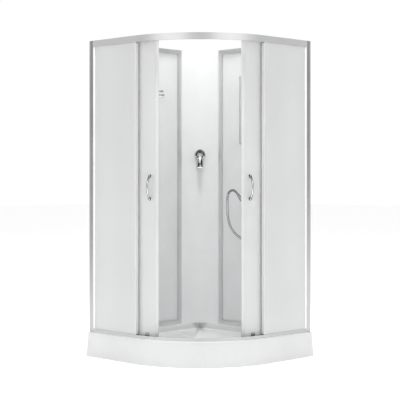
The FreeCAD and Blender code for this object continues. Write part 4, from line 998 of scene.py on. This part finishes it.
@dataclass
class RollingDoor:
    """A bent door with its seals, brackets, wheels and handles.

    Its own frame has its origin at the middle of the bend, with X pointing out through the pane and Z up.
    A wheel row is a name, a radius and a height, and an axle a name, an angle and a distance from the origin.
    """

    side: Side
    turned_open: float = 23.927
    pole_across: float = 0.04026
    pole_ahead: float = -0.09415
    pane_radius: float = 0.514
    pane_thick: float = 0.004
    pane_low: float = 0.156
    pane_high: float = 1.944
    pane_first: float = 1.3
    pane_last: float = 48.5
    pane_steps: int = 72
    handle_at: float = 6.2
    handle_height: float = 1.046
    handle_half: float = 0.068
    handle_reach: float = 0.038
    handle_post: float = 0.012
    handle_crease: float = 40.0
    handle_steps: int = 28
    rod: float = 0.0052
    rod_facets: int = 20
    post: Sequence[Span] = (
        (0.0, 0.0088), (0.0012, 0.009), (0.0022, 0.0084), (0.003, 0.0062), (0.0078, 0.0058), (0.0086, 0.0068),
        (0.0118, 0.0072), (0.0148, 0.0066), (0.0174, 0.0048), (0.0186, 0.002))
    wheel_half: float = 0.00225
    wheel_facets: int = 36
    wheel_crease: float = 50.0
    wheel_rows: Sequence[tuple[str, float, float]] = (("top", 0.011, 1.9313), ("bottom", 0.008, 0.1604))
    axles: Sequence[tuple[str, float, float]] = (("lead", 8.9, 0.53333), ("trail", 30.57, 0.52874))

    @property
    def sign(self) -> float:
        """One on the left, minus one on the right."""
        return 1.0 if self.side is Side.LEFT else -1.0

    def place(self, degrees: float) -> Matrix:
        """The door's own frame at rest, turned back from its leading edge by an angle.

        Args:
            degrees: the angle back from the leading edge.

        Returns:
            The frame.
        """
        across = Vector((1.0, 1.0, 0.0)).normalized()
        ahead = Vector((1.0, -1.0, 0.0)).normalized()
        centre = Vector(ARC_CENTRE)
        pole = centre + across * (self.sign * self.pole_across) + ahead * self.pole_ahead
        opening = Matrix.Rotation(math.radians(-self.sign * self.turned_open), 4, "Z")
        opened = Matrix.Translation(pole) @ opening
        closed = Matrix.Translation(centre) @ Matrix.Rotation(-QUARTER / 2, 4, "Z")
        back = Matrix.Rotation(math.radians(-self.sign * degrees), 4, "Z")
        return opened @ Matrix.Translation(-pole) @ closed @ back

    def pane(self) -> None:
        """The bent pane: an upright strip of its section, spun about the bend's middle."""
        side = self.side.value
        middle = (self.pane_radius - self.pane_thick / 2, 0.0, (self.pane_low + self.pane_high) / 2)
        deselect()
        bpy.ops.mesh.primitive_plane_add(size=1.0, location=middle, rotation=(QUARTER, 0.0, 0.0))
        piece = started(f"{side}_bent_pane", (self.pane_thick, self.pane_high - self.pane_low, 1.0))
        sweep = math.radians(self.sign * (self.pane_last - self.pane_first))
        bpy.ops.mesh.spin(steps=self.pane_steps, angle=sweep, center=(0.0, 0.0, 0.0), axis=UP)
        put(close_edit(piece), self.place(self.pane_first))
        fitted(piece, FROSTED, f"{side}_door", f"{side}_door_glass")

    def bow(self) -> Piece:
        """A bow handle with its foot at X = 0: a rod spun through an arc, and a turned post at each end.

        Returns:
            The shape.
        """
        half = self.handle_half
        sag = self.handle_reach - self.handle_post
        bend = (half ** 2 + sag ** 2) / (2 * sag)
        sweep = 2 * math.asin(half / bend)
        deselect()
        bpy.ops.mesh.primitive_circle_add(
            vertices=self.rod_facets, radius=self.rod, fill_type="NGON",
            location=(self.handle_post, 0.0, -half), rotation=(0.0, sweep / 2, 0.0))
        rod = started("rod")
        bpy.ops.mesh.spin(steps=self.handle_steps, angle=sweep, center=(self.handle_reach - bend, 0.0, 0.0),
                          axis=(0.0, 1.0, 0.0))
        close_edit(rod)
        lower = turned("lower_post", self.post, self.handle_steps)
        put(lower, Matrix.Translation((0.0, 0.0, -half)) @ Matrix.Rotation(QUARTER, 4, "Y"))
        upper = copied(lower, "upper_post")
        put(upper, Matrix.Translation((0.0, 0.0, 2 * half)))
        return joined("bow", [rod, lower, upper])

    def handles(self) -> None:
        """One bow outside the glass and its twin inside."""
        side = self.side.value
        shape = self.bow()
        for where, face, turn in (("outer", self.pane_radius, 0.0),
                                  ("inner", self.pane_radius - self.pane_thick, 2 * QUARTER)):
            piece = copied(shape, f"{side}_{where}_bow")
            at = Matrix.Translation((face, 0.0, self.handle_height))
            put(piece, self.place(self.handle_at) @ at @ Matrix.Rotation(turn, 4, "Z"))
            fitted(piece, HANDLE, f"{side}_door", f"{side}_{where}_handle", degrees=self.handle_crease)
        bpy.data.objects.remove(shape)

    def tyre(self, radius: float) -> Piece:
        """A roller about its own Z axis: a nylon tyre with a fine groove round it and a dished face.

        Args:
            radius: the radius of the tyre.

        Returns:
            The shape.
        """
        half = self.wheel_half
        chamfer, shoulder, bend, crown, groove, dish = 0.0009, 0.0002, 0.0005, 0.0012, 0.0004, 0.0007
        rim, web, hub, cap, axle = radius * 0.62, radius * 0.56, 0.0036, 0.0034, 0.0009
        return turned("tyre", (
            (-half, rim), (-half, radius - chamfer), (-half + bend, radius - shoulder),
            (-half + crown, radius), (-groove, radius), (0.0, radius - groove), (groove, radius),
            (half - crown, radius), (half - bend, radius - shoulder), (half, radius - chamfer),
            (half, rim), (half - dish, web), (half - dish, hub), (half, cap), (half, axle)),
            self.wheel_facets)

    def wheels(self) -> None:
        """The four rollers, each a copy of its row's shape, set square to the pane."""
        lay_down = Matrix.Rotation(QUARTER, 4, "Y")
        for row, radius, height in self.wheel_rows:
            shape = self.tyre(radius)
            for role, degrees, track in self.axles:
                source = f"{self.side.value}_{row}_{role}_wheel"
                piece = copied(shape, f"{source}_tyre")
                put(piece, self.place(degrees) @ Matrix.Translation((track, 0.0, height)) @ lay_down)
                fitted(piece, NYLON, source, source, degrees=self.wheel_crease)
            bpy.data.objects.remove(shape)

    def build(self) -> None:
        """Builds the door's pieces."""
        side = self.side.value
        body = f"{side}_door"
        self.pane()
        softened(f"{side}_magnet_seal", f"{side}_closing_strip", SEAL, Rounding.DRAWN, body)
        softened(f"{side}_wiper", f"{side}_trailing_wiper", VINYL, body=body)
        softened(f"{side}_roller_brackets", f"{side}_roller_plates", PLATED, Rounding.STAMPED, body)
        self.handles()
        self.wheels()


# ------------------------------------------------------------------ studio


@dataclass(frozen=True)
class Lamp:
    """A square soft lamp."""

    name: str
    place: Point
    target: Point
    size: float
    power: float
    mirrored: bool

    def hang(self) -> None:
        """Hangs the lamp and turns it to its target; neither the camera nor glass shows it."""
        data = bpy.data.lights.new(self.name, "AREA")
        data.size = self.size
        data.energy = self.power
        lamp = bpy.data.objects.new(self.name, data)
        lamp.location = self.place
        lamp.visible_camera = False
        lamp.visible_transmission = False
        lamp.visible_glossy = self.mirrored
        lamp.rotation_euler = (Vector(self.target) - Vector(self.place)).to_track_quat("-Z", "Y").to_euler()
        bpy.context.scene.collection.objects.link(lamp)


@dataclass
class Studio:
    """Floor, light and camera."""

    camera_place: Point = (5.09, -5.09, 1.12)
    camera_turn: Point = (QUARTER, 0.0, QUARTER / 2)
    lens: float = 104.67
    sensor: float = 36.0
    shift: float = -0.0625
    sight: float = 200.0
    floor_size: float = 60.0
    paper: Colour = (0.99, 0.99, 0.99)
    paper_roughness: float = 0.9
    white: Colour = (1.0, 1.0, 1.0)
    daylight: float = 1.02
    entry_way: Point = (0.7071, -0.7071, 0.0)
    mirrored_walls: Sequence[Span] = (
        (0.0, 1.0), (0.3, 1.0), (0.42, 0.42), (0.66, 0.42), (0.78, 1.0), (0.96, 1.0), (0.986, 0.04),
        (1.0, 0.03))
    ceiling_starts: Span = (0.55, 0.8)
    ceiling_tone: float = 0.12
    lamps: Sequence[Lamp] = (
        Lamp("key", (3.0, -3.4, 4.4), (0.0, 0.0, 1.2), 2.4, 12.0, True),
        Lamp("over", (0.5, -0.5, 6.6), (-0.1, 0.1, 0.3), 1.4, 290.0, False))

    def build(self) -> None:
        """Builds floor, lights and camera."""
        self.floor()
        self.world()
        for lamp in self.lamps:
            lamp.hang()
        self.camera()

    def floor(self) -> None:
        """A plain pale floor."""
        deselect()
        bpy.ops.mesh.primitive_plane_add(size=self.floor_size, location=(0.0, 0.0, 0.0))
        floor = bpy.context.object
        floor.name = "studio_floor"
        paint = bpy.data.materials.new("studio_floor")
        paint.use_nodes = True
        feed(paint.node_tree, paint.node_tree.nodes["Principled BSDF"], Base_Color=(*self.paper, 1.0),
             Roughness=self.paper_roughness)
        floor.data.materials.append(paint)

    def world(self) -> None:
        """Even white light from all round, and a room with darker walls that only reflections show."""
        world = bpy.data.worlds.new("studio")
        world.use_nodes = True
        tree = world.node_tree
        even = tree.nodes["Background"]
        feed(tree, even, Color=(*self.white, 1.0), Strength=self.daylight)
        way = node(tree, "ShaderNodeTexCoord").outputs["Generated"]
        ahead = node(tree, "ShaderNodeVectorMath", {"operation": "DOT_PRODUCT"}, _0=way, _1=self.entry_way)
        share = spread(tree, ahead.outputs["Value"], (-1.0, 1.0), 0.0, 1.0)
        walls = node(tree, "ShaderNodeValToRGB", Fac=share)
        ramp = walls.color_ramp
        for stop, (_, tone) in zip(ramp.elements, (self.mirrored_walls[0], self.mirrored_walls[-1])):
            stop.color = (tone, tone, tone, 1.0)
        for position, tone in self.mirrored_walls[1:-1]:
            ramp.elements.new(position).color = (tone, tone, tone, 1.0)
        height = node(tree, "ShaderNodeSeparateXYZ", _0=way).outputs["Z"]
        ceiling = spread(tree, height, self.ceiling_starts, 1.0, self.ceiling_tone, soft=True)
        mirrored = node(tree, "ShaderNodeBackground", Color=(*self.white, 1.0),
                        Strength=combined(tree, "MULTIPLY", walls.outputs["Color"], ceiling))
        ray = node(tree, "ShaderNodeLightPath").outputs["Is Glossy Ray"]
        both = node(tree, "ShaderNodeMixShader", _0=ray, _1=even.outputs[0], _2=mirrored.outputs[0])
        tree.links.new(both.outputs[0], tree.nodes["World Output"].inputs["Surface"])
        bpy.context.scene.world = world

    def camera(self) -> None:
        """The photograph's view: level, from in front of the entry."""
        data = bpy.data.cameras.new("camera")
        data.sensor_width = self.sensor
        data.lens = self.lens
        data.shift_y = self.shift
        data.clip_end = self.sight
        camera = bpy.data.objects.new("camera", data)
        camera.location = self.camera_place
        camera.rotation_euler = self.camera_turn
        bpy.context.scene.collection.objects.link(camera)
        bpy.context.scene.camera = camera
        bpy.context.scene.view_settings.view_transform = "Standard"


def main() -> None:
    """Builds the studio, the hose and then every other sub-assembly."""
    logging.basicConfig(level=logging.INFO, format="%(message)s")
    Studio().build()
    RibbedHose().build()
    for assembly in (ShowerTray(), EntryFrame(), RearWalls(), LeverMixer(), RightWallFittings(),
                     LeftWallShelf(), RollingDoor(Side.LEFT), RollingDoor(Side.RIGHT)):
        log.info("building %s", type(assembly).__name__)
        assembly.build()


if __name__ == "__main__":
    main()
